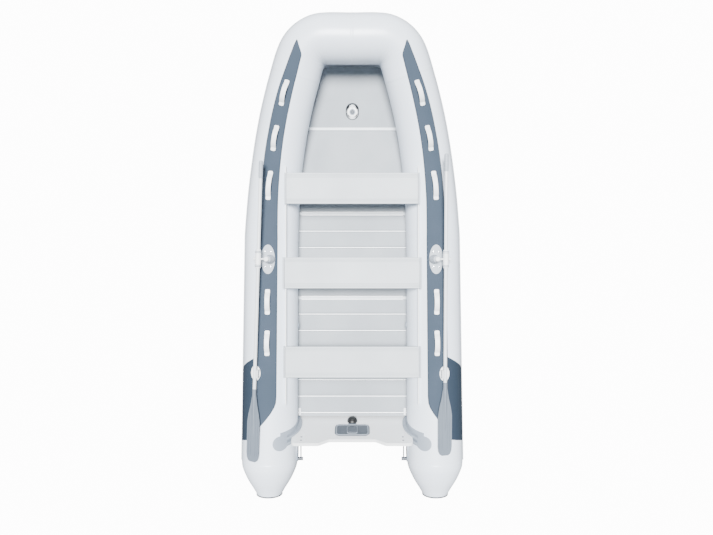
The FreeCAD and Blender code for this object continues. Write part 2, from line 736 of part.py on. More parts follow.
def floor_top_at(y):
    """Height of the floor's upper face; the bow panel climbs."""
    ahead = max(0.0, y - floor_joint_bow_y.value)
    return floor_height.value + ahead * math.tan(math.radians(floor_bow_slope.value))


def keel_top_at(y):
    """Height that the boards and their cross bars leave for the keel's crest."""
    if y < floor_joint_bow_y.value + floor_joint_width.value:
        return (floor_height - floor_thickness - floor_joint_lip - skin_gap).value
    return floor_top_at(y) - floor_thickness.value / math.cos(math.radians(floor_bow_slope.value)) - skin_gap.value * 4


def keel_tube():
    rings = []
    for index, (along, wide) in enumerate(KEEL_SHARES):
        y = (transom_foot_y if along < 0 else bow_reach).value * along
        radius = keel_radius * wide
        ring = make("Part::Circle", "KeelRing%02d" % index, Radius=radius)
        ring.Placement = Placement(Vector(0, y, keel_top_at(y) - radius.value), Rotation(X_AXIS, 90))
        rings.append(ring)
    loft = doc.addObject("Part::Loft", "keel_tube")
    loft.Sections, loft.Solid, loft.Ruled = rings, True, True
    return loft


def keel_valve(keel):
    """Inflation valve on the keel, seen through the hole in the bow panel."""
    body = new_body("KeelValveBody")
    profile = new_sketch(body, "XZ_Plane")
    deep = keel_valve_radius / 2
    outline(profile, [(NIL, -deep), (keel_valve_radius, -deep), (keel_valve_radius, keel_valve_height / 3),
                      (keel_valve_cap_radius, keel_valve_height / 3), (keel_valve_cap_radius, keel_valve_height),
                      (NIL, keel_valve_height)])
    revolve(body, profile)
    y = valve_hole_y.value
    place(body, NIL, y, keel_top_at(y), Rotation(X_AXIS, floor_bow_slope.value))
    return cut("keel_valve", body, keel)


# Floor
def floor_edge(y):
    """Half-width that the tubes leave for the floor at y, where they come closest to its top and underside."""
    centre, radius = centre_at(y)
    frame, outboard, up, along = ring_frame(centre)
    room = []
    top = floor_top_at(y)
    for level in (top, top - floor_thickness.value, top - stringer_height.value):
        drop = abs(centre.z - level) * up.z
        if drop < radius:
            room.append(centre.x - math.sqrt(radius ** 2 - drop ** 2) / outboard.x)
    return min(room) - floor_side_gap.value


STRINGER_STEPS = 36


def stringer_stations():
    """Where the side profiles bend as they follow the tubes."""
    low_y = -(transom_foot_y - stringer_aft_gap)
    high_y = floor_joint_bow_y - floor_joint_width / 2
    return [(low_y + (high_y - low_y) * (i / STRINGER_STEPS)).value for i in range(STRINGER_STEPS + 1)]


def stringer_edge(y):
    """Outer edge of the side profile at y, on the straight run between its two nearest bends."""
    stations = stringer_stations()
    last = len(stations) - 2
    i = min(last, max(0, sum(1 for station in stations if station <= y) - 1))
    share = (y - stations[i]) / (stations[i + 1] - stations[i])
    return floor_edge(stations[i]) * (1 - share) + floor_edge(stations[i + 1]) * share


def floor_panel(label, low_y, high_y):
    """One flat board between two joints, its sides drawn along the stringers."""
    body = new_body(label)
    outer = new_sketch(body, "XY_Plane", floor_height - floor_thickness)
    inset = stringer_width + skin_gap * 3
    side = []
    inside = [Size(repr(y), y) for y in stringer_stations() if low_y.value < y < high_y.value]
    for y in [low_y] + inside + [high_y]:
        edge = stringer_edge(y.value)
        side.append((Size(repr(edge), edge) - inset, y))
    outline(outer, side + [(-x, y) for x, y in reversed(side)])
    pad(body, outer, floor_thickness)
    return body


def floor_bow_panel():
    """The nose board: rounded to the bow, climbing forward, with the oval hole over the keel's valve."""
    body = new_body("BowPanelBlank")
    slope = Rotation(X_AXIS, floor_bow_slope.value)
    place(body, NIL, floor_joint_bow_y, floor_height, slope)
    outer = new_sketch(body, "XY_Plane", -floor_thickness)
    start = floor_joint_width / 2 + skin_gap * 2
    base = floor_edge(floor_joint_bow_y.value) - (stringer_width + skin_gap).value
    side = []
    for along, wide in NOSE_SHARES:
        reach = floor_bow_length * along + start * (1 - along)
        side.append((Size(repr(base), base) * wide, reach))
    points = [(x, y) for x, y in side] + [(-x, y) for x, y in reversed(side)]
    outline(outer, points)
    solid = pad(body, outer, floor_thickness)
    hole = new_sketch(body, "XY_Plane", -floor_thickness - overrun, "Hole")
    centre_y = (valve_hole_y - floor_joint_bow_y) / math.cos(math.radians(floor_bow_slope.value))
    half_w, half_l = valve_hole_width / 2, (valve_hole_length - valve_hole_width) / 2
    for sign in (1, -1):
        end = centre_y + half_l * sign
        arc = Part.ArcOfCircle(Part.Circle(Vector(0, end.value, 0), Z_AXIS, half_w.value),
                               0 if sign > 0 else math.pi, math.pi if sign > 0 else 2 * math.pi)
        hole.addGeometry(arc, False)
    for sign in (1, -1):
        x = half_w * sign
        low, high = centre_y - half_l, centre_y + half_l
        hole.addGeometry(Part.LineSegment(Vector(x.value, low.value, 0), Vector(x.value, high.value, 0)), False)
    hole.addConstraint(Sketcher.Constraint("Tangent", 0, 1, 2, 2))
    hole.addConstraint(Sketcher.Constraint("Tangent", 0, 2, 3, 2))
    hole.addConstraint(Sketcher.Constraint("Tangent", 1, 2, 2, 1))
    hole.addConstraint(Sketcher.Constraint("Tangent", 1, 1, 3, 1))
    fix_point(hole, 0, 3, NIL, centre_y + half_l)
    fix_point(hole, 1, 3, NIL, centre_y - half_l)
    row = hole.addConstraint(Sketcher.Constraint("Radius", 0, half_w.value))
    hole.setExpression("Constraints[%d]" % row, half_w.text)
    pocket(body, hole, floor_thickness + overrun * 2, reverse=True)
    return cut("floor_panel_bow", body, bow_clear)


NOSE_SHARES = [(0.0, 1.0), (0.26, 0.90), (0.50, 0.75), (0.72, 0.60), (0.88, 0.46), (0.97, 0.33), (1.0, 0.20)]


def floor_joints():
    """Cross bars that lock the boards together: an H in section, with two ridges on top."""
    bars = []
    for name, y in (("Bow", floor_joint_bow_y), ("Fore", floor_joint_fore_y), ("Aft", -floor_joint_aft_y)):
        body = new_body("FloorJoint" + name)
        web = floor_joint_width / 2 - floor_joint_lip * 2
        low = -floor_thickness - floor_joint_lip
        profile = new_sketch(body, "YZ_Plane")
        half = floor_joint_width / 2
        gap = skin_gap / 2
        outline(profile, [
            (-half, low), (half, low), (half, -floor_thickness - gap), (web, -floor_thickness - gap),
            (web, gap), (half, gap), (half, floor_joint_lip), (half - floor_joint_lip, floor_joint_lip * 2),
            (web, floor_joint_lip), (-web, floor_joint_lip), (-half + floor_joint_lip, floor_joint_lip * 2),
            (-half, floor_joint_lip), (-half, gap), (-web, gap), (-web, -floor_thickness - gap),
            (-half, -floor_thickness - gap)])
        edge = floor_edge(y.value) - (stringer_width + skin_gap * 3).value
        pad(body, profile, Size(repr(edge), edge) * 2, midplane=True)
        place(body, NIL, y, floor_height)
        bars.append(body)
    return bars


def stringers():
    """Side profiles that grip the boards' edges and run along the tubes."""
    outer, inner = [], []
    for y in stringer_stations():
        edge = floor_edge(y)
        outer.append(Vector(edge, y, 0))
        inner.append(Vector(edge - stringer_width.value, y, 0))
    face = Part.Face(Part.makePolygon(outer + list(reversed(inner)) + [outer[0]]))
    bar = feature("StringerStarboard", face.extrude(Z_AXIS * stringer_height.value))
    bar.Placement = Placement(Vector(0, 0, floor_height.value - stringer_height.value), Rotation())
    return gather("floor_stringers", [bar, mirrored("StringerPort", bar)])


def latches():
    """White turn latches at the floor's two aft corners."""
    body = new_body("LatchStarboard")
    sketch = new_sketch(body, "XY_Plane")
    half_l, half_w = latch_length / 2, latch_width / 2
    outline(sketch, [(-half_w, -half_l), (half_w, -half_l), (half_w, half_l), (-half_w, half_l)])
    solid = pad(body, sketch, latch_height)
    round_edges(body, solid, latch_width * 0.45, runs_along(Z_AXIS))
    edge = floor_edge(-transom_foot_y.value)
    place(body, edge - stringer_width.value - latch_width.value, -(transom_foot_y - latch_length), floor_height)
    return gather("floor_latches", [body, mirrored("LatchPort", body)])


# Transom
def transom_place():
    return Placement(Vector(0, -transom_foot_y.value, floor_height.value), Rotation(X_AXIS, transom_rake.value))


def transom_board():
    body = new_body("TransomBlank")
    sketch = new_sketch(body, "XZ_Plane")
    top, dip = transom_rise, transom_rise - transom_dip
    low = -transom_depth
    right = [(transom_cut_bottom, dip), (transom_cut_top, top), (transom_half, top),
             (transom_half, transom_rise * 0.5), (tube_spread, transom_rise * 0.5),
             (tube_spread, low + transom_keel_drop), (transom_keel_half, low + transom_keel_drop), (NIL, low)]
    left = [(-x, z) for x, z in reversed(right[:-1])]
    outline(sketch, right + left)
    solid = pad(body, sketch, transom_thickness)
    bore = new_sketch(body, "XZ_Plane", name="Bore")
    circle(bore, NIL, drain_up, drain_bore + skin_gap)
    pocket(body, bore, (transom_thickness + overrun) * 2, midplane=True)
    doc.recompute()
    last = body.Tip

    def corner(edge):
        if not runs_along(Y_AXIS)(edge):
            return False
        spot = edge.CenterOfMass
        return spot.z > (transom_rise * 0.6).value
    round_edges(body, last, transom_corner, corner)
    body.Placement = transom_place()
    starboard = cut("TransomStarboard", body, board_clear)
    return cut("transom_board", starboard, mirrored("BoardClearPort", board_clear))


def transom_slab(name, half_thick, low_x, high_x, low, high):
    """A raked block centred on the board, from low_x to high_x."""
    box = Part.makeBox((high_x - low_x).value, half_thick.value * 2, (high - low).value,
                       Vector(low_x.value, -transom_thickness.value / 2 - half_thick.value, low.value))
    obj = feature(name, box)
    obj.Placement = transom_place()
    return obj


def transom_holders():
    """Moulded channels glued to the tubes that grip the board's ends, running up to a round pad."""
    low, high = -transom_depth + transom_keel_drop + overrun, transom_rise + overrun * 3
    flange = common("HolderFlange", holder_ring,
                    transom_slab("HolderSlab", transom_thickness / 2 + holder_flange,
                                 tube_spread - tube_radius_stern * 1.1, holder_pad_x, low, high))
    jaw = common("HolderJawBlank", lip_ring,
                 transom_slab("HolderJawSlab", transom_thickness / 2 + skin_gap + holder_jaw,
                              tube_spread - tube_radius_stern * 1.3, transom_half + transom_corner, low,
                              transom_rise - transom_corner))
    slot = transom_slab("HolderSlot", transom_thickness / 2 + skin_gap, NIL, tube_spread,
                        -transom_depth - overrun, high + overrun)
    jaws = cut("HolderJaws", jaw, slot)
    post = place(make("Part::Cylinder", "HolderPad", Radius=holder_pad_radius, Height=tube_radius_stern),
                 holder_pad_x, -holder_pad_y, tube_radius_stern * 1.2)
    round_pad = common("HolderRound", holder_ring, post)
    whole = fuse("HolderStarboard", [flange, jaws, round_pad])
    return gather("transom_holders", [whole, mirrored("HolderPort", whole)])


def motor_plates():
    plates = []
    for name, height, back in (("motor_plate_inner", motor_plate_height, False),
                               ("motor_plate_outer", outer_plate_height, True)):
        body = new_body(name)
        sketch = new_sketch(body, "XZ_Plane", transom_thickness + skin_gap if back else -skin_gap)
        half, foot = motor_plate_width / 2, motor_plate_foot
        points = [(half, foot), (half, foot + height), (-half, foot + height), (-half, foot)]
        if not back:
            tab = motor_tab_width / 2
            points += [(-tab, foot), (-tab, foot - motor_tab_height), (tab, foot - motor_tab_height), (tab, foot)]
        outline(sketch, points)
        solid = pad(body, sketch, motor_plate_thickness, reverse=not back)

        def corner(edge, half=half):
            return runs_along(Y_AXIS)(edge) and abs(abs(edge.CenterOfMass.x) - half.value) < 1e-3
        round_edges(body, solid, motor_plate_corner, corner)
        body.Placement = transom_place()
        plates.append(body)
    return plates


def seat(name, y, half):
    """An alloy plank with an end moulding at each side that hooks over the rail's bead."""
    board = new_body("seat_board_" + name)
    profile = new_sketch(board, "YZ_Plane")
    depth, top = seat_depth / 2, seat_thickness
    outline(profile, [(-depth, NIL), (depth, NIL), (depth, top), (-depth, top)])
    plank = pad(board, profile, (half - seat_cap_length) * 2, midplane=True)
    round_edges(board, plank, seat_edge, runs_along(X_AXIS))
    place(board, NIL, y, seat_bottom)
    end = new_body("SeatEnd" + name.capitalize())
    cap = new_sketch(end, "XZ_Plane", name="Cap")
    inner = half - seat_cap_length + skin_gap
    outline(cap, [(inner, NIL), (half, NIL), (half, top), (inner, top)])
    block = pad(end, cap, seat_depth, midplane=True, name="CapPad")
    clip = new_sketch(end, "XZ_Plane", name="Clip")
    foot = bead_height - bead_radius - bead_gap - clip_lip - seat_bottom
    outline(clip, [(bead_spread - clip_inboard, foot), (bead_spread + clip_outboard, foot),
                   (half, -clip_lip), (half, NIL), (bead_spread - clip_inboard, NIL)])
    pad(end, clip, clip_length, midplane=True, name="ClipPad")
    bore = new_sketch(end, "XZ_Plane", name="Bore")
    circle(bore, bead_spread, bead_height - seat_bottom, bead_radius + bead_gap)
    pocket(end, bore, seat_depth + overrun, midplane=True, name="BorePocket")
    slot = new_sketch(end, "XZ_Plane", name="Slot")
    half_slot = clip_slot / 2
    outline(slot, [(bead_spread - half_slot, foot - overrun), (bead_spread + half_slot, foot - overrun),
                   (bead_spread + half_slot, bead_height - seat_bottom),
                   (bead_spread - half_slot, bead_height - seat_bottom)])
    pocket(end, slot, seat_depth + overrun, midplane=True, name="SlotPocket")
    place(end, NIL, y, seat_bottom)
    return [board, gather("seat_ends_" + name, [end, mirrored("SeatEndPort" + name, end)])]


def seat_rails():
    """Round bead on a web, glued along each tube; the seats' end mouldings slide on it."""
    inner, outer = (bead_spread - rail_web / 2).value, (bead_spread + rail_web / 2).value
    fore = -rail_aft_y.value
    feet = []
    for step in range(RAIL_STEPS + 1):
        y = -rail_aft_y.value + (rail_fore_y + rail_aft_y).value * step / RAIL_STEPS
        foot = max(tube_height(inner, y), tube_height(outer, y)) + skin_gap.value
        if foot > (bead_height - bead_radius).value:
            break
        feet.append(Vector(0, y, foot))
        fore = y
    top = bead_height.value
    face = Part.Face(Part.makePolygon(feet + [Vector(0, fore, top), Vector(0, -rail_aft_y.value, top), feet[0]]))
    web = feature("RailWeb", face.extrude(X_AXIS * rail_web.value))
    web.Placement = Placement(Vector(inner, 0, 0), Rotation())
    bead = make("Part::Cylinder", "RailBead", Radius=bead_radius)
    bead.Height = fore + rail_aft_y.value
    place(bead, bead_spread, fore, bead_height, Rotation(X_AXIS, 90))
    rail = fuse("RailStarboard", [bead, web])
    return gather("seat_rails", [rail, mirrored("RailPort", rail)])


RAIL_STEPS = 48


# Oarlocks and oars. Side is +1 to starboard and -1 to port.
def lock_rotation(side, yaw):
    cant = Rotation(Y_AXIS, lock_cant.value * side)
    return cant.multiply(Rotation(Z_AXIS, yaw.value * side))


def lock_point(side):
    return Vector(lock_spread.value * side, 0, lock_height.value)


def oarlock_bases():
    """Stippled oval pad and tapered boss with the socket that the swivel's post turns in."""
    ellipse = make("Part::Ellipse", "LockOval", MajorRadius=lock_pad_length / 2, MinorRadius=lock_pad_width / 2)
    ellipse.Placement = Placement(Vector(lock_spread.value, 0, tube_radius_bow.value), Rotation(Z_AXIS, 90))
    oval = doc.addObject("Part::Extrusion", "LockOvalPrism")
    oval.Base, oval.Dir, oval.Solid = ellipse, Z_AXIS, True
    oval.DirMode = "Custom"
    bind(oval, "LengthFwd", tube_radius_stern * 2)
    patch = common("LockPatch", pad_skin, oval)
    body = new_body("LockBoss")
    profile = new_sketch(body, "XZ_Plane")
    outline(profile, [(NIL, -boss_drop - boss_reach), (boss_foot_radius, -boss_drop - boss_reach),
                      (boss_foot_radius, -boss_drop - boss_reach / 2), (boss_top_radius, -boss_drop),
                      (NIL, -boss_drop)])
    revolve(body, profile)
    body.Placement = Placement(lock_point(1), lock_rotation(1, NIL))
    boss = cut("LockBossSeated", body, pad_clear)
    bore = make("Part::Cylinder", "LockBore", Radius=post_radius + post_fit, Height=post_length)
    turn = lock_rotation(1, NIL)
    bore.Placement = Placement(lock_point(1) + turn.multVec(Z_AXIS * -(boss_drop + post_length - skin_gap).value),
                               turn)
    whole = cut("LockStarboard", fuse("LockBlank", [patch, boss]), bore)
    return gather("oarlock_bases", [whole, mirrored("LockPort", whole)])


def oarlock_swivel(name, side, yaw):
    """Post and head that turn in the boss, with the cross pin that the oar hangs on and its keeper ring."""
    body = new_body("Swivel" + name.capitalize())
    profile = new_sketch(body, "XZ_Plane")
    foot = -boss_drop - post_length + skin_gap * 2 + post_radius / 4
    outline(profile, [(NIL, foot), (post_radius, foot), (post_radius, -boss_drop + skin_gap),
                      (head_radius, -boss_drop + skin_gap), (head_radius, head_rise * 0.6),
                      (head_radius * 0.7, head_rise), (NIL, head_rise)])
    revolve(body, profile)
    tail = new_sketch(body, "YZ_Plane", name="Pin")
    circle(tail, NIL, NIL, pin_radius)
    pad(body, tail, oar_offset + collar_radius + pin_tail, reverse=side < 0, name="PinPad")
    frame = Placement(lock_point(side), lock_rotation(side, yaw))
    body.Placement = frame
    # the keeper's wire runs through a hole across the pin's tail, leaning outboard
    tail_x = (oar_offset + collar_radius + pin_tail / 2).value * side
    hole = make("Part::Cylinder", "KeeperHole" + name.capitalize(), Radius=ring_wire * 1.45, Height=pin_radius * 3)
    hole.Placement = frame.multiply(Placement(Vector(tail_x, pin_radius.value * 1.5, 0), Rotation(X_AXIS, 90)))
    ring = make("Part::Torus", "Keeper" + name.capitalize(), Radius1=ring_radius, Radius2=ring_wire)
    lean = Rotation(Y_AXIS, ring_tilt.value * side)
    hang = lean.multVec(X_AXIS * (ring_radius - ring_wire * 0.375).value * side)
    ring.Placement = frame.multiply(Placement(Vector(tail_x, 0, 0) + hang, lean))
    drilled = cut("SwivelDrilled" + name, body, hole)
    return gather("oarlock_swivel_" + name, [drilled, ring])


def oar_frame(side, yaw):
    turn = lock_rotation(side, yaw)
    return Placement(lock_point(side) + turn.multVec(X_AXIS * oar_offset.value * side),
                     turn.multiply(Rotation(X_AXIS, oar_dip.value)))


def oar(name, side, yaw, reach, roll):
    """Alloy shaft, moulded grip, collar and ribbed blade; local Y runs from the blade to the grip."""
    frame = oar_frame(side, yaw)
    blade_root = reach - oar_length + blade_length
    shaft_length = reach - grip_length - blade_root
    shaft_blank = make("Part::Cylinder", "ShaftBlank" + name, Radius=shaft_radius, Height=shaft_length)
    shaft_blank.Placement = frame.multiply(Placement(Vector(0, (reach - grip_length).value, 0),
                                                     Rotation(X_AXIS, 90)))
    cross = make("Part::Cylinder", "ShaftCross" + name, Radius=pin_radius + post_fit, Height=collar_radius * 4)
    cross.Placement = frame.multiply(Placement(Vector(-collar_radius.value * 2, 0, 0), Rotation(Y_AXIS, 90)))
    shaft = cut("oar_shaft_" + name, shaft_blank, cross)

    grip = new_body("oar_grip_" + name)
    profile = new_sketch(grip, "XY_Plane")
    points = [(NIL, NIL), (shaft_radius, NIL)]
    for step in GRIP_GROOVE_SHARES:
        at = grip_length * step
        points += [(grip_radius, at - grip_groove * 2), (grip_radius - grip_groove, at),
                   (grip_radius, at + grip_groove * 2)]
    points += [(grip_radius, grip_length * 0.93), (grip_radius * 0.75, grip_length), (NIL, grip_length)]
    outline(profile, points)
    revolve(grip, profile)
    grip.Placement = frame.multiply(Placement(Vector(0, (reach - grip_length).value, 0), Rotation()))

    collar_body = new_body("CollarBody" + name.capitalize())
    profile = new_sketch(collar_body, "XY_Plane")
    half = collar_length / 2
    inner = shaft_radius + collar_fit
    outline(profile, [(inner, -half), (collar_radius * 0.78, -half), (collar_radius, -half * 0.78),
                      (collar_radius, half * 0.78), (collar_radius * 0.78, half), (inner, half)])
    revolve(collar_body, profile)
    collar_body.Placement = frame
    collar = cut("oar_collar_" + name, collar_body, cross)

    blade = new_body("oar_blade_" + name)
    flat = new_sketch(blade, "XY_Plane")
    wide = blade_width / 2
    root = blade_socket * 0.9
    right = [(root, NIL), (blade_socket, -blade_flare * 0.18), (wide * 0.52, -blade_flare * 0.5),
             (wide * 0.84, -blade_flare * 0.8), (wide, -blade_flare * 1.05),
             (wide, -blade_length + blade_tip), (wide * 0.93, -blade_length + blade_tip * 0.5),
             (wide * 0.74, -blade_length + blade_tip * 0.16), (wide * 0.45, -blade_length)]
    outline(flat, right + [(-x, y) for x, y in reversed(right)])
    pad(blade, flat, blade_thickness, midplane=True)
    ribs = new_sketch(blade, "XY_Plane", name="Ribs")
    for step in BLADE_RIB_SHARES:
        x = blade_rib_pitch * step
        rib = blade_rib_width / 2
        start = -blade_flare * (0.86 if abs(step) > 1 else 0.62)
        stop = -blade_length + blade_tip * 0.75
        outline(ribs, [(x - rib, stop), (x + rib, stop), (x + rib, start), (x - rib, start)])
    pad(blade, ribs, blade_thickness + blade_rib_height * 2, midplane=True, name="RibPad")
    spine = new_sketch(blade, "XY_Plane", name="Spine")
    outline(spine, [(NIL, NIL), (blade_socket, NIL), (blade_socket, -blade_flare * 0.35),
                    (blade_socket * 0.45, -blade_length * 0.62), (NIL, -blade_length * 0.72)])
    revolve(blade, spine, name="SpineTurned")
    blade.Placement = frame.multiply(Placement(Vector(0, blade_root.value, 0),
                                               Rotation(Y_AXIS, roll.value * side)))
    return [shaft, grip, collar, blade]


GRIP_GROOVE_SHARES = [0.12, 0.26, 0.40, 0.54, 0.68, 0.82]
BLADE_RIB_SHARES = [-2, -1, 1, 2]


def oar_rest(name, side, yaw):
    """Cradle on the tube under the stowed shaft, open outboard so that the oar can swing out."""
    frame = oar_frame(side, yaw)
    drop = shaft_radius + rest_clearance
    rest_y = oar_length - starboard_grip_reach - blade_length - rest_inset
    shelf_length = drop + rest_wall + rest_shelf
    shelf = make("Part::Box", "RestShelf" + name, Length=shelf_length, Width=rest_length,
                 Height=tube_radius_stern * 0.4)
    corner_x = -(drop + rest_wall).value if side > 0 else -rest_shelf.value
    low = -(drop + tube_radius_stern * 0.4).value
    shelf.Placement = frame.multiply(Placement(Vector(corner_x, -(rest_y + rest_length / 2).value, low),
                                               Rotation()))
    wall = make("Part::Box", "RestWall" + name, Length=rest_wall, Width=rest_length,
                Height=drop + rest_wall_rise)
    corner_x = -(drop + rest_wall).value if side > 0 else drop.value
    wall.Placement = frame.multiply(Placement(Vector(corner_x, -(rest_y + rest_length / 2).value, -drop.value),
                                              Rotation()))
    clear = pad_clear if side > 0 else pad_clear_port
    stand = cut("RestStand" + name, fuse("RestBlank" + name, [shelf, wall]), clear)
    centre = frame.multVec(Vector(0, -rest_y.value, 0))
    ellipse = make("Part::Ellipse", "RestOval" + name, MajorRadius=rest_pad_length / 2,
                   MinorRadius=rest_pad_width / 2)
    ellipse.Placement = Placement(Vector(centre.x, centre.y, tube_radius_bow.value), Rotation(Z_AXIS, 90))
    oval = doc.addObject("Part::Extrusion", "RestPrism" + name)
    oval.Base, oval.Dir, oval.Solid, oval.DirMode = ellipse, Z_AXIS, True, "Custom"
    bind(oval, "LengthFwd", tube_radius_stern * 2)
    ring = pad_skin if side > 0 else pad_skin_port
    return fuse("Rest" + name, [stand, common("RestPatch" + name, ring, oval)])


# Grab handles: where they sit along the boat, how far off the tube's crest, and which are the long ones
HANDLE_SHARES = [(0.770, 0.08, False), (0.572, 0.09, False), (0.341, 0.08, True), (-0.195, 0.0, False),
                 (-0.383, 0.0, False)]


def handles():
    starboard = []
    for index, (along, off, is_long) in enumerate(HANDLE_SHARES):
        length = handle_long if is_long else handle_length
        body = new_body("Handle%d" % index)
        profile = new_sketch(body, "YZ_Plane")
        half, foot, rise, thick = length / 2, handle_foot, handle_rise, handle_thickness
        outer = [(-half, NIL), (-half, thick), (-half + foot, thick)]
        inner = [(-half + foot, NIL)]
        for share, up in HANDLE_ARCH_SHARES:
            y = -half + foot + (length - foot * 2) * share
            outer.append((y, rise * up + thick))
            inner.append((y, rise * up))
        outer += [(half - foot, thick), (half, thick), (half, NIL)]
        inner.append((half - foot, NIL))
        outline(profile, outer + list(reversed(inner)))
        pad(body, profile, handle_width, midplane=True)
        y = bow_reach.value * along
        centre, radius = centre_at(y)
        frame, outboard, up, way = ring_frame(centre)
        lean = math.asin(off)
        normal = up * math.cos(lean) + outboard * math.sin(lean)
        level = radius + (nose_gap + skin_gap + skin_thickness).value
        rises = []
        for end in (-1, 1):
            there, wide = centre_at(y + half.value * way.y * end)
            side = (there - centre).dot(way.cross(normal))
            rises.append((there - centre).dot(normal) + wide - radius - side ** 2 / wide / 2)
        level += max(rises + [0])
        body.Placement = Placement(centre + normal * level,
                                   Rotation(way.cross(normal), way, normal, "ZXY"))
        starboard.append(body)
    port = [mirrored("HandlePort%d" % i, body) for i, body in enumerate(starboard)]
    return [gather("handles_starboard", starboard), gather("handles_port", port)]


HANDLE_ARCH_SHARES = [(0.10, 0.42), (0.22, 0.76), (0.36, 0.95), (0.50, 1.0), (0.64, 0.95), (0.78, 0.76), (0.90, 0.42)]


def stern_handles():
    """Grab bars inside the tails: an oval base shaped to the tube, two feet and a steel bar."""
    oval = make("Part::Ellipse", "SternOval", MajorRadius=ring_patch_length / 2, MinorRadius=ring_patch_radius)
    inset = stern_handle_inset.value
    oval.Placement = Placement(Vector(inset, -stern_handle_y.value, tube_radius_stern.value),
                               Rotation(Y_AXIS, Z_AXIS, X_AXIS, "ZXY"))
    prism = doc.addObject("Part::Extrusion", "SternPrism")
    prism.Base, prism.Dir, prism.Solid, prism.DirMode = oval, X_AXIS, True, "Custom"
    bind(prism, "LengthFwd", tube_radius_stern / 4)
    base = cut("SternBaseTube", cut("SternBaseCone", prism, cone_clear), side_clear)
    feet, bars = [], []
    for sign in (1, -1):
        y = -stern_handle_y + stern_handle_span / 2 * sign
        foot = make("Part::Cylinder", "SternFoot%d" % (sign + 1), Radius=stern_foot_radius,
                    Height=stern_handle_reach + stern_bar_radius)
        place(foot, stern_handle_inset, y, tube_radius_stern, Rotation(Y_AXIS, -90))
        feet.append(foot)
    bore = place(make("Part::Cylinder", "SternBore", Radius=stern_bar_radius, Height=stern_handle_span * 2),
                 stern_handle_inset - stern_handle_reach + stern_bar_radius * 2,
                 -stern_handle_y + stern_handle_span, tube_radius_stern, Rotation(X_AXIS, 90))
    bar = place(make("Part::Cylinder", "SternBar", Radius=stern_bar_radius,
                     Height=stern_handle_span + stern_foot_radius * 1.2),
                stern_handle_inset - stern_handle_reach + stern_bar_radius * 2,
                -stern_handle_y + (stern_handle_span + stern_foot_radius * 1.2) / 2, tube_radius_stern,
                Rotation(X_AXIS, 90))
    drilled = [cut("SternFootBored%d" % i, foot, bore) for i, foot in enumerate(feet)]
    nodes = [gather("stern_fittings", drilled + [mirrored("SternFootPort%d" % i, f)
                                                 for i, f in enumerate(drilled)]),
             gather("stern_bars", [bar, mirrored("SternBarPort", bar)])]
    return nodes, [base, mirrored("SternBasePort", base)]


def bow_ring():
    """Tow ring under the nose: moulded base on the bow tube, with an eye that holds a steel ring."""
    middle = Vector(0, bow_reach.value, (tube_radius_bow + bow_rise).value)
    lean = Rotation(X_AXIS, -tow_drop.value)
    outward = lean.multVec(Y_AXIS)

    def set_out(obj, x, reach, z, turn):
        obj.Placement = Placement(middle, lean).multiply(Placement(Vector(x, reach, z), turn))
        return obj
    base = tube_radius_bow + patch_thickness
    post = set_out(make("Part::Cylinder", "BowPatchBlank", Radius=tow_patch_radius, Height=patch_thickness * 3),
                   0, base.value, 0, Rotation(X_AXIS, 90))
    patch = cut("BowPatch", post, bow_clear)
    lug = set_out(make("Part::Box", "BowLug", Length=tow_lug_width, Width=tow_lug_reach, Height=tow_lug_width * 2),
                  -tow_lug_width.value / 2, base.value, -tow_lug_width.value, Rotation())
    eye_reach = (base + tow_lug_reach / 2).value
    hole = set_out(make("Part::Cylinder", "BowLugHole", Radius=tow_ring_wire + skin_gap * 3,
                        Height=tow_lug_width * 2), -tow_lug_width.value, eye_reach, 0, Rotation(Y_AXIS, 90))
    eye = cut("BowEye", lug, hole)
    ring = make("Part::Torus", "bow_ring", Radius1=tow_ring_radius, Radius2=tow_ring_wire)
    hang = middle + outward * eye_reach - Z_AXIS * (tow_ring_radius - skin_gap).value
    ring.Placement = Placement(hang, Rotation(X_AXIS, 90))
    return ring, patch, eye


def air_valves():
    """Inflation valves low on the inner side of the side tubes."""
    centre, radius = centre_at(-air_valve_y.value)
    body = new_body("AirValveBody")
    profile = new_sketch(body, "XZ_Plane")
    outline(profile, [(NIL, -air_valve_radius), (air_valve_radius, -air_valve_radius),
                      (air_valve_radius, air_valve_height / 3),
                      (air_valve_radius * 0.8, air_valve_height / 3), (air_valve_radius * 0.72, air_valve_height),
                      (NIL, air_valve_height)])
    revolve(body, profile)
    frame, outboard, up, way = ring_frame(centre)
    lean = math.radians(air_valve_drop.value)
    normal = -outboard * math.cos(lean) - up * math.sin(lean)
    body.Placement = Placement(centre + normal * radius, Rotation(way.cross(normal), way, normal, "ZXY"))
    valve = cut("AirValveStarboard", body, side_clear)
    return gather("air_valves", [valve, mirrored("AirValvePort", valve)])


def drain_valve():
    """Drain through the board: neck, domed inner cap and outer flange."""
    body = new_body("drain_valve")
    profile = new_sketch(body, "XY_Plane")
    dome, flange = drain_dome_radius, drain_flange
    back = -transom_thickness - skin_gap
    outline(profile, [(NIL, back - drain_flange_thickness * 2), (flange * 0.6, back - drain_flange_thickness * 2),
                      (flange, back - drain_flange_thickness), (flange, back), (drain_bore, back),
                      (drain_bore, skin_gap), (dome, skin_gap), (dome, drain_flange_thickness),
                      (dome * 0.86, drain_dome_height * 0.55), (dome * 0.55, drain_dome_height * 0.9),
                      (NIL, drain_dome_height)])
    revolve(body, profile)
    body.Placement = transom_place().multiply(Placement(Vector(0, 0, drain_up.value), Rotation()))
    return body


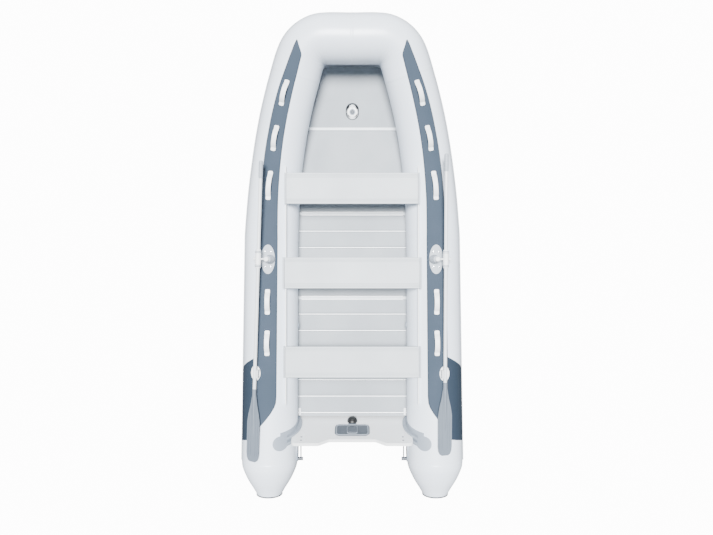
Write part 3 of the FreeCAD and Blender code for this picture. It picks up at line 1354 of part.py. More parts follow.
def build():
    nodes = tubes()
    nodes.append(rub_strake())
    nodes += [tread_pads(), flank_panels()]
    nodes += hull_bottom()
    keel = keel_tube()
    nodes += [keel, keel_valve(keel)]
    aft = -(transom_foot_y - floor_aft_gap)
    half = floor_joint_width / 2 - floor_joint_lip * 2 + skin_gap
    bow = floor_bow_panel()
    nodes.append(bow)
    nodes.append(floor_panel("floor_panel_fore", floor_joint_fore_y + half, floor_joint_bow_y - half))
    nodes.append(floor_panel("floor_panel_middle", -floor_joint_aft_y + half, floor_joint_fore_y - half))
    nodes.append(floor_panel("floor_panel_aft", aft, -floor_joint_aft_y - half))
    nodes.append(gather("floor_joints", floor_joints()))
    nodes.append(stringers())
    nodes.append(latches())
    nodes.append(transom_board())
    nodes.append(transom_holders())
    nodes += motor_plates()
    nodes.append(drain_valve())
    nodes.append(seat_rails())
    for name, y, half_length in (("fore", seat_fore_y, seat_half_fore), ("middle", -seat_middle_y, seat_half_middle),
                                 ("aft", -seat_aft_y, seat_half_aft)):
        nodes += seat(name, y, half_length)
    nodes.append(oarlock_bases())
    rests = []
    for name, side, yaw, reach, roll in (("port", -1, port_yaw, port_grip_reach, blade_roll_port),
                                         ("starboard", 1, starboard_yaw, starboard_grip_reach,
                                          blade_roll_starboard)):
        nodes.append(oarlock_swivel(name, side, yaw))
        nodes += oar(name, side, yaw, reach, roll)
        rests.append(oar_rest(name, side, yaw))
    nodes.append(gather("oar_rests", rests))
    nodes += handles()
    stern, bases = stern_handles()
    nodes += stern
    ring, patch, eye = bow_ring()
    nodes.append(ring)
    nodes.append(gather("ring_bases", bases + [patch, eye]))
    nodes.append(air_valves())
    return nodes


NODES = build()
doc.recompute()

for obj in doc.Objects:
    if "Invalid" in obj.State or "Error" in obj.State:
        raise RuntimeError("failed: %s %s" % (obj.Name, obj.State))
for node in NODES:
    if node.Shape.isNull() or not node.Shape.isValid():
        raise RuntimeError("bad shape: " + node.Label)

os.makedirs("parts", exist_ok=True)
for node in NODES:
    node.Shape.exportStep("parts/%s.step" % node.Label)
    box = node.Shape.BoundBox
    print("%-24s %2d %11.0f  x %7.1f %7.1f  y %7.1f %7.1f  z %6.1f %6.1f" % (
        node.Label, len(node.Shape.Solids), node.Shape.Volume / 1000, box.XMin, box.XMax, box.YMin, box.YMax,
        box.ZMin, box.ZMax))
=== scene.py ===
import math

import bmesh
import bpy
import numpy as np
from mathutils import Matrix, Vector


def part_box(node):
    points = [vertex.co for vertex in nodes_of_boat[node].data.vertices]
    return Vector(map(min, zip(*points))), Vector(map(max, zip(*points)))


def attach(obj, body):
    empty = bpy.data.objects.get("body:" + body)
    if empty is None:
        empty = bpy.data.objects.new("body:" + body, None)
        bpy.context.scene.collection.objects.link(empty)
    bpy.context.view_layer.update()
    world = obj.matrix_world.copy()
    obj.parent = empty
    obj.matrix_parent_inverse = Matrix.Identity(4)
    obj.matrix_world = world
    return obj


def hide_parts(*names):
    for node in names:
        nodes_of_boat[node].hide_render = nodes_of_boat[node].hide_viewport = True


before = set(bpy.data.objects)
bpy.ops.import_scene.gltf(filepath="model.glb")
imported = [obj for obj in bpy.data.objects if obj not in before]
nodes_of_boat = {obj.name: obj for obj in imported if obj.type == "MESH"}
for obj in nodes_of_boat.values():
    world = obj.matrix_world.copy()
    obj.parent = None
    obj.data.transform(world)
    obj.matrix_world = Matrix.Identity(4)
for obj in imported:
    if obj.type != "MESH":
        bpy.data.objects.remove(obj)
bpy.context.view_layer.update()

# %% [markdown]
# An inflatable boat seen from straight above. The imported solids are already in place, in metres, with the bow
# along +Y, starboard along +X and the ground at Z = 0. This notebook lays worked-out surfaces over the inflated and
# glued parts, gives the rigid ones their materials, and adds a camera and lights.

SIDES = (("starboard", 1), ("port", -1))
print("solids in the frame:", len(nodes_of_boat))

# %% [markdown]
# The photo was taken from straight above the middle of the boat, so the camera looks down Z with the bow at the top
# of the picture. A lens of 31 mm at five and a half metres makes the tubes' sides lean outwards as in the photo.

# %% Camera
CAMERA_PLACE = (0.036, -0.067, 5.5)
LENS_MM, SENSOR_MM = 31.15, 36.0
eye = bpy.data.cameras.new("overhead_camera")
eye.lens, eye.sensor_width = LENS_MM, SENSOR_MM
camera = bpy.data.objects.new("overhead_camera", eye)
camera.location = CAMERA_PLACE
bpy.context.scene.collection.objects.link(camera)
bpy.context.scene.camera = camera
print("camera at", CAMERA_PLACE, "with a lens of", LENS_MM, "mm")

# %% [markdown]
# Every new piece is a grid of points worked out as arrays: a profile loop carried along a path. One helper turns
# such a grid into a mesh, joins the loop's last point to its first, and closes each end with quads across the loop.

# %% Grid to mesh
SHARP_DEGREES = 35
MERGE_DISTANCE = 1e-6


def once_round(count):
    """Equal angles once round a circle."""
    return np.linspace(0, 2 * np.pi, count + 1)[:-1]


def grid_of(x, y, z):
    """Points from three arrays that spread to one shape."""
    return np.stack(np.broadcast_arrays(x, y, z), -1)


def squared_off(wave, power):
    """A sine or cosine raised to a power, its sign kept."""
    return np.sign(wave) * np.abs(wave) ** power


def sheet_loop(top, under):
    """Closed loops: along a sheet's top, back along its underside."""
    return np.concatenate([top, under[:, ::-1]], 1)


def grid_piece(name, points, body="boat", around=True, along=False, caps=True, uv=None, sharp=SHARP_DEGREES):
    """Mesh of an n by m grid of points. Row i, column j joins to row i+1 and column j+1; around joins the last
    column to the first, along the last row to the first, and caps fold each end row shut, column j to m-1-j. uv is
    a row of values along and one across."""
    n, m = points.shape[:2]
    i, j = np.meshgrid(np.arange(n if along else n - 1), np.arange(m if around else m - 1), indexing="ij")
    i2, j2 = (i + 1) % n, (j + 1) % m
    quads = np.stack([i * m + j, i2 * m + j, i2 * m + j2, i * m + j2], -1).reshape(-1, 4)
    faces = [quads]
    if caps and not along:
        k = np.arange(m // 2 - 1)
        for row in (0, n - 1):
            faces.append(row * m + np.stack([k, k + 1, m - 2 - k, m - 1 - k], -1))
    faces = np.concatenate(faces)
    mesh = bpy.data.meshes.new(name)
    mesh.from_pydata(points.reshape(-1, 3), [], faces.tolist())
    if uv is not None:
        layer = mesh.uv_layers.new(name="along_and_across")
        ii = np.stack([i, i + 1, i + 1, i], -1).reshape(-1)
        jj = np.stack([j, j, j + 1, j + 1], -1).reshape(-1)
        flat = np.zeros((len(mesh.loops), 2), np.float32)
        flat[:len(ii), 0], flat[:len(ii), 1] = uv[0][ii], uv[1][jj]
        layer.data.foreach_set("uv", flat.ravel())
    return finish_mesh(name, mesh, body, sharp)


def finish_mesh(name, mesh, body, sharp):
    """Merges doubled points, turns faces outwards, smooths the shading and rides the piece on its body."""
    work = bmesh.new()
    work.from_mesh(mesh)
    bmesh.ops.remove_doubles(work, verts=work.verts, dist=MERGE_DISTANCE)
    bmesh.ops.dissolve_degenerate(work, edges=work.edges, dist=MERGE_DISTANCE)
    bmesh.ops.recalc_face_normals(work, faces=work.faces)
    work.to_mesh(mesh)
    work.free()
    mesh.polygons.foreach_set("use_smooth", np.ones(len(mesh.polygons), bool))
    mesh.set_sharp_from_angle(angle=math.radians(sharp))
    piece = bpy.data.objects.new(name, mesh)
    bpy.context.scene.collection.objects.link(piece)
    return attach(piece, body)


def points_of(node):
    """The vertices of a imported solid, one row each."""
    mesh = nodes_of_boat[node].data
    co = np.zeros(len(mesh.vertices) * 3)
    mesh.vertices.foreach_get("co", co)
    return co.reshape(-1, 3)


def made_of(piece, material):
    """Gives a piece its material."""
    piece.data.materials.append(material)
    return piece


def smooth_through(points, stations, where):
    """Natural cubic curve through points at stations, read at where: one set of equations gives the second
    derivative at all of them, and between two it runs straight."""
    h = np.diff(stations)
    n = len(stations)
    table = np.eye(n)
    k = np.arange(1, n - 1)
    table[k, k - 1], table[k, k], table[k, k + 1] = h[:-1], 2 * (h[:-1] + h[1:]), h[1:]
    slope = np.diff(points, axis=0) / h[:, None]
    right = np.zeros_like(points)
    right[1:-1] = 6 * np.diff(slope, axis=0)
    bend = np.linalg.solve(table, right)
    k = np.clip(np.searchsorted(stations, where, side="right") - 1, 0, n - 2)
    x, hk = (where - stations[k])[:, None], h[k][:, None]
    start = slope[k] - hk * (2 * bend[k] + bend[k + 1]) / 6
    return points[k] + start * x + bend[k] / 2 * x ** 2 + (bend[k + 1] - bend[k]) / (6 * hk) * x ** 3


def soft_step(x):
    """0 below 0, 1 above 1, and a smooth S between."""
    x = np.clip(x, 0, 1)
    return x * x * (3 - 2 * x)


# %% [markdown]
# The boat is one long tube bent round the bow: straight side chambers, a run that narrows and rises to the nose, a
# rounded corner, and a nearly flat bow. Everything glued to it is a function of three numbers: how far along the
# tube from the middle of the bow, the angle past the crest, and the height above the fabric.

# %% The tube's centreline
SEAM_Y, SEAM_X, SEAM_RADIUS = 0.170, 0.687, 0.224
STERN_Y, STERN_X, STERN_RADIUS = -1.700, 0.703, 0.235
BOW_Y, BOW_RISE, BOW_RADIUS = 1.791, 0.285, 0.200
FLAT_HALF, CORNER_RADIUS, CORNER_TURN = 0.219, 0.215, math.radians(67)
TAIL_LENGTH = 0.288
NOSE_POINTS, SIDE_POINTS, TAIL_POINTS = 500, 60, 50
# stations that lead the smooth curve into the nose, as shares from the stern to the seam
LEAD_SHARES = np.array([0.0, 0.5, 0.75, 0.92])

# how far along the run to the corner, how far out, how much of the taper and of the rise
NOSE_RUN = np.array([
    (0.000, 1.000, 1.000, 0.0), (0.110, 0.974, 0.880, 0.0), (0.227, 0.934, 0.750, 0.0), (0.330, 0.880, 0.640, 0.020),
    (0.424, 0.816, 0.530, 0.070), (0.509, 0.744, 0.450, 0.137), (0.591, 0.660, 0.370, 0.226),
    (0.673, 0.560, 0.300, 0.330), (0.753, 0.446, 0.230, 0.440), (0.830, 0.322, 0.160, 0.553),
    (0.912, 0.176, 0.080, 0.685)])
CORNER_TURNS = np.array([0.0, 0.16, 0.33, 0.5, 0.67, 0.84, 1.0])
CORNER_RISES = np.array([0.826, 0.866, 0.904, 0.938, 0.968, 0.990, 1.0])


def nose_rings():
    """Centre and radius of the tube from the side seam forward: the run's shares times its length, then points on
    the corner's arc, then the bow's middle."""
    start = math.pi / 2 - CORNER_TURN
    corner_y = BOW_Y - CORNER_RADIUS
    end_x, end_y = FLAT_HALF + CORNER_RADIUS * math.cos(start), corner_y + CORNER_RADIUS * math.sin(start)
    along, out, thick, up = NOSE_RUN.T
    taper = SEAM_RADIUS - BOW_RADIUS
    run = np.stack([end_x + (SEAM_X - end_x) * out, SEAM_Y + (end_y - SEAM_Y) * along,
                    BOW_RADIUS + taper * thick + BOW_RISE * up, BOW_RADIUS + taper * thick], -1)
    angle = start + CORNER_TURN * CORNER_TURNS
    corner = np.stack([FLAT_HALF + CORNER_RADIUS * np.cos(angle), corner_y + CORNER_RADIUS * np.sin(angle),
                       BOW_RADIUS + BOW_RISE * CORNER_RISES, np.full(len(angle), BOW_RADIUS)], -1)
    middle = np.array([[0.0, BOW_Y, BOW_RADIUS + BOW_RISE, BOW_RADIUS]])
    return np.concatenate([run, corner, middle])


rings = nose_rings()
stern = np.array([STERN_X, STERN_Y, STERN_RADIUS, STERN_RADIUS])
lead = stern + (rings[0] - stern) * LEAD_SHARES[:, None]
half_line = np.concatenate([lead, rings])
whole_line = np.concatenate([half_line, half_line[-2::-1] * np.array([-1, 1, 1, 1])])
chords = np.concatenate([[0], np.cumsum(np.linalg.norm(np.diff(whole_line[:, :3], axis=0), axis=1))])
bow_param, seam_param = chords[len(half_line) - 1], chords[len(lead)]
nose_params = np.linspace(bow_param, seam_param, NOSE_POINTS)
nose = smooth_through(whole_line, chords, nose_params)
side = rings[0] + (stern - rings[0]) * np.linspace(0, 1, SIDE_POINTS)[1:, None]
axis = (rings[0, :3] - stern[:3]) / np.linalg.norm(rings[0, :3] - stern[:3])
# share of the tail's length, share of the stern's radius
TAIL_PROFILE = np.array([(0.0, 1.0), (0.12, 0.992), (0.32, 0.915), (0.62, 0.735), (0.83, 0.575), (1.0, 0.458)])
tail_share = np.linspace(0, 1, TAIL_POINTS)[1:]
tail_width = smooth_through(TAIL_PROFILE[:, 1:], TAIL_PROFILE[:, 0], tail_share)[:, 0]
tail = np.concatenate([stern[:3] - axis * TAIL_LENGTH * tail_share[:, None],
                       (STERN_RADIUS * tail_width)[:, None]], 1)
half_tube = np.concatenate([nose, side, tail])
reach = np.concatenate([[0], np.cumsum(np.linalg.norm(np.diff(half_tube[:, :3], axis=0), axis=1))])
forward = -np.gradient(half_tube[:, :3], reach, axis=0)
forward[0] = (-1, 0, 0)
forward[len(nose):] = axis
forward /= np.linalg.norm(forward, axis=1)[:, None]
outboard = np.cross(forward, (0, 0, 1))
outboard /= np.linalg.norm(outboard, axis=1)[:, None]
upward = np.cross(outboard, forward)
SEAM_REACH, STERN_REACH, TUBE_REACH = reach[len(nose) - 1], reach[len(nose) + len(side) - 1], reach[-1]
# the stations' places along the tube, from the seam forward
station_reach = np.interp(-chords[len(lead):len(half_line)], -nose_params, reach[:len(nose)])
print("half tube %.3f m, seam at %.3f m, stern at %.3f m" % (TUBE_REACH, SEAM_REACH, STERN_REACH))


def read_line(table, s):
    """A table along the starboard half, read at |s| column by column; port (s below 0) mirrors its X."""
    found = np.stack([np.interp(np.abs(s), reach, table[:, k]) for k in range(3)], -1)
    found[..., 0] *= np.where(s < 0, -1, 1)
    return found


def radius_at(s):
    """The tube's radius at s."""
    return np.interp(np.abs(s), reach, half_tube[:, 3])


def on_tube(s, angle, lift=0.0):
    """Point on the tube: centre(s) + (outboard sin(angle) + up cos(angle)) * (radius(s) + lift)."""
    s, angle, lift = np.broadcast_arrays(s, angle, lift)
    way = read_line(outboard, s) * np.sin(angle)[..., None] + read_line(upward, s) * np.cos(angle)[..., None]
    return read_line(half_tube, s) + way * (radius_at(s) + lift)[..., None]


def reach_at_y(y):
    """How far along the half tube its centreline crosses y, aft of the corner."""
    return np.interp(-np.asarray(y, float), -half_tube[:, 1], reach)


# %% [markdown]
# One small function adds a node with its settings and links, and another turns hex colours, which are sRGB, to
# linear values. Each material starts from what the real one is.

# %% Material helpers
WAVE_TURN = 6.2832  # a wave texture of scale 1 repeats every 2 pi units, so its scale is divided by that
GRAIN_HEIGHT = 0.0003


def linear(hex_colour):
    """sRGB hex to linear RGBA: c/12.92 in the darkest part, ((c+0.055)/1.055)^2.4 above it."""
    channels = [int(hex_colour[i:i + 2], 16) / 255 for i in (1, 3, 5)]
    return tuple(c / 12.92 if c <= 0.04045 else ((c + 0.055) / 1.055) ** 2.4 for c in channels) + (1.0,)


def add_node(tree, kind, settings=None, **links):
    """Adds a node; settings are its properties or socket values, links are socket name to output."""
    node = tree.nodes.new(kind)
    for key, value in (settings or {}).items():
        if hasattr(node, key) and key not in node.inputs:
            setattr(node, key, value)
        else:
            node.inputs[key].default_value = value
    for socket, source in links.items():
        tree.links.new(source, node.inputs[socket.replace("_", " ")])
    return node


def noise_of(tree, place, scale, detail=2.0):
    """Fine noise at a place."""
    return add_node(tree, "ShaderNodeTexNoise", {"Scale": scale, "Detail": detail}, Vector=place).outputs["Fac"]


def new_material(name, colour, roughness, **shader):
    """A plain material; shader gives the values of its other sockets."""
    material = bpy.data.materials.new(name)
    material.use_nodes = True
    tree = material.node_tree
    surface = tree.nodes["Principled BSDF"]
    surface.inputs["Base Color"].default_value = linear(colour)
    surface.inputs["Roughness"].default_value = roughness
    for key, value in shader.items():
        surface.inputs[key.replace("_", " ")].default_value = value
    return material, tree, surface


def drifting(name, light, dark, roughness, scale, spread=None, **shader):
    """A material whose colour drifts slowly between two hex colours, and its roughness by spread, from one noise;
    with its tree, surface and texture coordinates."""
    material, tree, surface = new_material(name, light, roughness, **shader)
    place = add_node(tree, "ShaderNodeTexCoord")
    noise = noise_of(tree, place.outputs["Object"], scale, 4.0)
    mix = add_node(tree, "ShaderNodeMix", {"data_type": "RGBA"})
    tree.links.new(noise, mix.inputs[0])
    mix.inputs[6].default_value, mix.inputs[7].default_value = linear(light), linear(dark)
    tree.links.new(mix.outputs[2], surface.inputs["Base Color"])
    if spread:
        ends = {"To Min": roughness + spread[0], "To Max": roughness + spread[1]}
        drift = add_node(tree, "ShaderNodeMapRange", ends, Value=noise)
        tree.links.new(drift.outputs["Result"], surface.inputs["Roughness"])
    return material, tree, surface, place


def bump_from(tree, surface, height, strength, distance=GRAIN_HEIGHT, below=None):
    """Bump from a height output, laid over another bump if one is given."""
    bump = add_node(tree, "ShaderNodeBump", {"Strength": strength, "Distance": distance}, Height=height)
    if below is not None:
        tree.links.new(below.outputs["Normal"], bump.inputs["Normal"])
    tree.links.new(bump.outputs["Normal"], surface.inputs["Normal"])
    return bump


def moulded(name, light, dark, roughness, scale=6.0, grain_scale=600.0, strength=0.12, coat=0.0, ior=1.5):
    """Moulded plastic, rubber or paint: a slow drift in tone and a fine grain."""
    material, tree, surface, place = drifting(name, light, dark, roughness, scale, IOR=ior, Coat_Weight=coat)
    bump_from(tree, surface, noise_of(tree, place.outputs["Object"], grain_scale), strength)
    return material


# %% [markdown]
# The tubes are polyester cloth coated with PVC: bright, cool and slightly glossy, with the weave only just felt
# through the coating. Real threads are too fine for the picture, so the weave here has a 4 mm pitch and very little
# height. It follows the tube through the piece's own UV map, in metres.

# %% Coated fabric
WEAVE_PITCH_MM, WEAVE_STRENGTH = 4.0, 0.25


def coated_fabric(name, light, dark, roughness, coat=0.25, specular=0.5):
    """PVC-coated cloth: two crossed waves along the UV map multiply into the weave's height."""
    material, tree, surface, place = drifting(name, light, dark, roughness, 2.2, (-0.05, 0.08), IOR=1.5,
                                              Coat_Weight=coat, Coat_Roughness=0.25, Specular_IOR_Level=specular)
    scale = 1000 / WEAVE_PITCH_MM / WAVE_TURN
    waves = [add_node(tree, "ShaderNodeTexWave", {"Scale": scale, "bands_direction": turn},
                      Vector=place.outputs["UV"]) for turn in ("X", "Y")]
    weave = add_node(tree, "ShaderNodeMath", {"operation": "MULTIPLY"})
    for index, wave in enumerate(waves):
        tree.links.new(wave.outputs["Fac"], weave.inputs[index])
    bump_from(tree, surface, weave.outputs[0], WEAVE_STRENGTH)
    return material


pvc_white = coated_fabric("coated_polyester_white", "#e6eef8", "#dde6f1", 0.34)
pvc_grey = coated_fabric("coated_polyester_grey", "#dde1e5", "#d4d9de", 0.45)
pvc_slate = coated_fabric("coated_polyester_dark_slate", "#2b3643", "#25303c", 0.7, coat=0.0, specular=0.2)
print("fabrics:", pvc_white.name, pvc_grey.name, pvc_slate.name)

# %% [markdown]
# The inflated hull is one closed surface. Where two lengths of fabric meet there is a glued tape 24 mm wide that
# stands less than a millimetre proud, and on the inside of each bow corner the fabric gathers in small folds,
# because that side of the tube is shorter. Both are heights added to the tube's radius. The UV row round the tube
# has one value more than the grid has columns, as the last column joins the first.

# %% Inflated hull
TAPE_HALF, TAPE_RISE = 0.012, 0.0006
TAPE_REACHES = [0.0, 0.62, SEAM_REACH, STERN_REACH]
TAPE_ROWS = (-0.0135, -0.0125, -0.0115, 0.0115, 0.0125, 0.0135)
FOLD_PITCH, FOLD_DEPTH, FOLD_REACH, FOLD_SPREAD = 0.048, 0.0028, 0.335, 0.16
UV_RADIUS = 0.22  # turns an angle round the tube to metres for the weave

edges = [t + d for t in TAPE_REACHES for d in TAPE_ROWS]
s_line = np.unique(np.clip(np.concatenate([np.linspace(0, TUBE_REACH, 330), np.linspace(0.1, 0.62, 110),
                                           edges]), 0, TUBE_REACH))
s_line = np.concatenate([-s_line[:0:-1], s_line])
turns = once_round(96)
S, A = np.meshgrid(s_line, turns, indexing="ij")
lift = sum(soft_step((TAPE_HALF + 0.001 - np.abs(np.abs(S) - t)) / 0.002) * TAPE_RISE for t in TAPE_REACHES)
inner_side = np.clip(-np.sin(A), 0, 1) ** 3
near_corner = np.exp(-((np.abs(S) - FOLD_REACH) / FOLD_SPREAD) ** 2)
fold = 0.5 + 0.5 * np.cos(2 * np.pi * np.abs(S) / FOLD_PITCH + 1.5 * np.sin(3 * A))
lift = lift - FOLD_DEPTH * inner_side * near_corner * fold
hull = grid_piece("inflated_hull", on_tube(S, A, lift), uv=(s_line, np.append(turns, 2 * np.pi) * UV_RADIUS))
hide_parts("tube_sides", "tube_bow", "end_cones")
made_of(hull, pvc_white)
print("hull faces:", len(hull.data.polygons))


# %% [markdown]
# Pads, panels and bands glued on the tube are slabs: a top face over an underside, joined round the edges. The
# slab's place along and across is any pair of grids, so its ends may slant. The edge is pulled down over its last
# few millimetres.

# %% Slab on the tube
def tube_slab(name, s, angle, base, thick, soft=0.35):
    """Closed slab from grids of s and angle: top at base + thick, lowered by soft at the rim, underside at base."""
    n, m = s.shape
    across = np.linspace(-1, 1, m)
    down = np.linspace(-1, 1, n)
    rim = 1 - soft * np.maximum(soft_step((np.abs(across) - 0.9) / 0.1),
                                soft_step((np.abs(down) - 0.985) / 0.015)[:, None])
    top = on_tube(s, angle, base + thick * rim)
    bottom = on_tube(s, angle, np.full(s.shape, base))
    mean = np.abs(s[:, m // 2])
    width = np.concatenate([angle[n // 2], angle[n // 2][::-1], angle[n // 2][:1]]) * UV_RADIUS
    return grid_piece(name, sheet_loop(top, bottom), uv=(mean, width))


# %% [markdown]
# The blue-grey tread pads are ribbed rubber with a darker moulded bead along each edge. The outer bead is nearly
# twice as wide as the inner, so its dark rubber is partly painted shadow of the oar shafts beside it. The edges are
# shares of the tube's radius: how far in and out of the crest the pad reaches.

# %% Tread pads
RIB_HEIGHT = 0.0006


def ribbed_rubber(name, light, dark, pitch_mm, roughness):
    """Moulded rubber: ribs across, pitch_mm apart, and a fine grain."""
    material, tree, surface, place = drifting(name, light, dark, roughness, 5.0, IOR=1.5, Specular_IOR_Level=0.25)
    wave = add_node(tree, "ShaderNodeTexWave", {"Scale": 1000 / pitch_mm / WAVE_TURN, "bands_direction": "X"},
                    Vector=place.outputs["UV"])
    ribs = bump_from(tree, surface, wave.outputs["Fac"], 0.35, RIB_HEIGHT)
    bump_from(tree, surface, noise_of(tree, place.outputs["Object"], 900.0), 0.15, below=ribs)
    return material


tread_rubber = ribbed_rubber("moulded_tread_rubber_slate", "#3c4755", "#333f4c", 9.0, 0.8)
border_rubber, _, _ = new_material("moulded_border_rubber", "#2c3541", 0.6)

PAD_SIDE_Y = np.array([-1.390, -1.351, -1.312, -1.265, -1.218, -1.180, -1.125, SEAM_Y])
PAD_SIDE_INNER = np.array([0.30, 0.16, 0.02, -0.13, -0.25, -0.31, -0.33, -0.33])
PAD_OUTER = 0.36
# inner and outer shares at the nose's stations, from the seam forward
PAD_NOSE = np.array([(0.33, 0.36), (0.30, 0.37), (0.27, 0.385), (0.25, 0.395), (0.235, 0.40), (0.225, 0.40),
                     (0.22, 0.39), (0.218, 0.38), (0.215, 0.365), (0.21, 0.34), (0.20, 0.29), (0.195, 0.215),
                     (0.14, 0.195), (-0.17, 0.20)])
PAD_BASE, PAD_THICK = 0.0009, 0.003
PAD_COLUMNS, BEAD_SIDES = 25, 8
# the outer bead's extra width is painted shadow of the oar shafts, laid in the bead's dark rubber
PAD_BEADS_AND_SHADOW = {"inner": 0.0024, "outer": 0.0045}  # half width of the bead along each edge
BEAD_SEAT, BEAD_HEIGHT = 0.0022, 0.0018

pad_s = np.linspace(station_reach[len(PAD_NOSE) - 1], reach_at_y(PAD_SIDE_Y[0]), 260)
nose_s = station_reach[:len(PAD_NOSE)]
inner_nose, outer_nose = smooth_through(PAD_NOSE[::-1] * (-1, 1), nose_s[::-1], pad_s).T
inner_line = np.interp(pad_s, reach_at_y(PAD_SIDE_Y)[::-1], PAD_SIDE_INNER[::-1])
inner = np.where(pad_s < SEAM_REACH, inner_nose, inner_line)
outer = np.where(pad_s < SEAM_REACH, outer_nose, PAD_OUTER)
low_angle, high_angle = np.arcsin(inner), np.arcsin(np.maximum(outer, inner + 0.004))
v = np.linspace(0, 1, PAD_COLUMNS)
turn = once_round(BEAD_SIDES)
for name, mirror in SIDES:
    s_grid = np.repeat((pad_s * mirror)[:, None], PAD_COLUMNS, 1)
    a_grid = low_angle[:, None] + (high_angle - low_angle)[:, None] * v
    pad = tube_slab("tread_pad_" + name, s_grid, a_grid, PAD_BASE, PAD_THICK, soft=0.5)
    made_of(pad, tread_rubber)
    if mirror == 1:
        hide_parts("tread_pads")
    for where, line in (("inner", low_angle), ("outer", high_angle)):
        bead_a = line[:, None] + PAD_BEADS_AND_SHADOW[where] / radius_at(pad_s)[:, None] * np.cos(turn)
        bead = on_tube((pad_s * mirror)[:, None], bead_a, PAD_BASE + BEAD_SEAT + BEAD_HEIGHT * np.sin(turn))
        made_of(grid_piece("pad_border_%s_%s" % (where, name), bead), border_rubber)
print("pads reach from %.2f to %.2f m along the tube" % (pad_s[0], pad_s[-1]))

# %% [markdown]
# The dark panels on the stern quarters are plain coated fabric. Each is two thin slabs with slanting ends, one above
# and one below the rubbing band.

# %% Flank panels
FLANK_BASE, FLANK_THICK = 0.0003, 0.002
# upper and lower edge of each panel: fore end, aft end, height as a share of the stern's radius
FLANKS = {"upper": ((-0.787, -1.476, 1.92), (-0.923, -1.530, 1.135)),
          "lower": ((-0.966, -1.550, 0.845), (-1.003, -1.5725, 0.55))}


def height_angle(y, share):
    """Angle past the crest where the tube's outer side is share times the stern radius above the ground."""
    s = reach_at_y(y)
    level = (STERN_RADIUS * share - np.interp(s, reach, half_tube[:, 2])) / radius_at(s)
    return np.arccos(np.clip(level, -1, 1))


for part, edges_of_panel in FLANKS.items():
    u, v = np.meshgrid(np.linspace(0, 1, 70), np.linspace(0, 1, 22), indexing="ij")
    (fore0, aft0, z0), (fore1, aft1, z1) = edges_of_panel
    fore, aft = fore0 + (fore1 - fore0) * v, aft0 + (aft1 - aft0) * v
    y_grid = fore + (aft - fore) * u
    a_grid = height_angle(y_grid, z0) + (height_angle(y_grid, z1) - height_angle(y_grid, z0)) * v
    for name, mirror in SIDES:
        panel = tube_slab("flank_%s_%s" % (part, name), reach_at_y(y_grid) * mirror, a_grid, FLANK_BASE, FLANK_THICK)
        made_of(panel, pvc_slate)
        if part == "upper" and mirror == 1:
            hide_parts("flank_panels")
print("flank panels:", len(FLANKS) * len(SIDES))

# %% [markdown]
# The rubbing band is an extruded rubber profile: two rounded ridges with a groove between, thinning to a lip at
# each edge. The profile is a height over the width, carried round the bow and along both sides to the cones.

# %% Rubbing band
band_rubber = ribbed_rubber("extruded_rubber_light_grey", "#c3c8ce", "#b5bbc2", 60.0, 0.55)
BAND_HALF, BAND_THICK, BAND_COLUMNS = 0.031, 0.008, 25
w = np.linspace(-1, 1, BAND_COLUMNS)
ridge = 0.18 + 0.82 * np.clip(np.cos(w * np.pi / 2) * 1.7, 0, 1) ** 0.6
ridge = ridge * (1 - 0.35 * np.exp(-(w / 0.13) ** 2)) - 0.1 * np.exp(-((np.abs(w) - 0.62) / 0.07) ** 2)
band_s = np.linspace(-STERN_REACH, STERN_REACH, 520)
Sb = np.repeat(band_s[:, None], 2 * BAND_COLUMNS, 1)
around = np.concatenate([w, w[::-1]])
base_lift = np.where(np.abs(Sb) < SEAM_REACH, PAD_BASE, FLANK_BASE)
lift = base_lift + np.concatenate([ridge * BAND_THICK, np.zeros(BAND_COLUMNS)])
angles = np.pi / 2 + around * BAND_HALF / radius_at(Sb)
band = grid_piece("rubbing_band", on_tube(Sb, angles, lift), uv=(band_s, np.append(around, around[0]) * 0.03))
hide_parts("rub_strake")
made_of(band, band_rubber)
print("band faces:", len(band.data.polygons))

# %% [markdown]
# The bottom is one sheet of fabric, glued to the tubes and pulled into a shallow V by the inflated keel under the
# floor. Its edge lies on the tubes' undersides and follows them round the corners to the nose. The section is a V
# with a softly rounded keel line, and ahead of 1.2 m it is fuller, so that the sheet stays down under the nose.

# %% Bottom fabric and keel
# place along the boat, rise as a share of the bow's, and the edge's place as a share of a quarter turn from below
HULL_RUN = np.array([
    (-1.398, 0.0, 0.5), (-0.3495, 0.0, 0.5), (0.170, 0.0, 0.5), (0.501, 0.0, 0.47), (0.716, 0.002, 0.42),
    (0.931, 0.012, 0.34), (1.057, 0.035, 0.28), (1.173, 0.072, 0.22), (1.290, 0.125, 0.18), (1.406, 0.20, 0.17),
    (1.533, 0.31, 0.16), (1.660, 0.50, 0.16), (1.730, 0.76, 0.14)])
BOTTOM_START, KEEL_TURN_UP = HULL_RUN[0, 0], HULL_RUN[-2, 0]
BOTTOM_GROUND, BOTTOM_WALL, GLUE_LIFT = 0.010, 0.003, 0.0006
CORNER_REACH, NOSE_REACH, NOSE_KEEL = station_reach[len(NOSE_RUN)], 0.012, (1.786, 0.279)
KEEL_SOFT, FULLER_FROM, FULLER_RUN, FULLER_BY = 0.03, 1.20, 0.20, 0.6

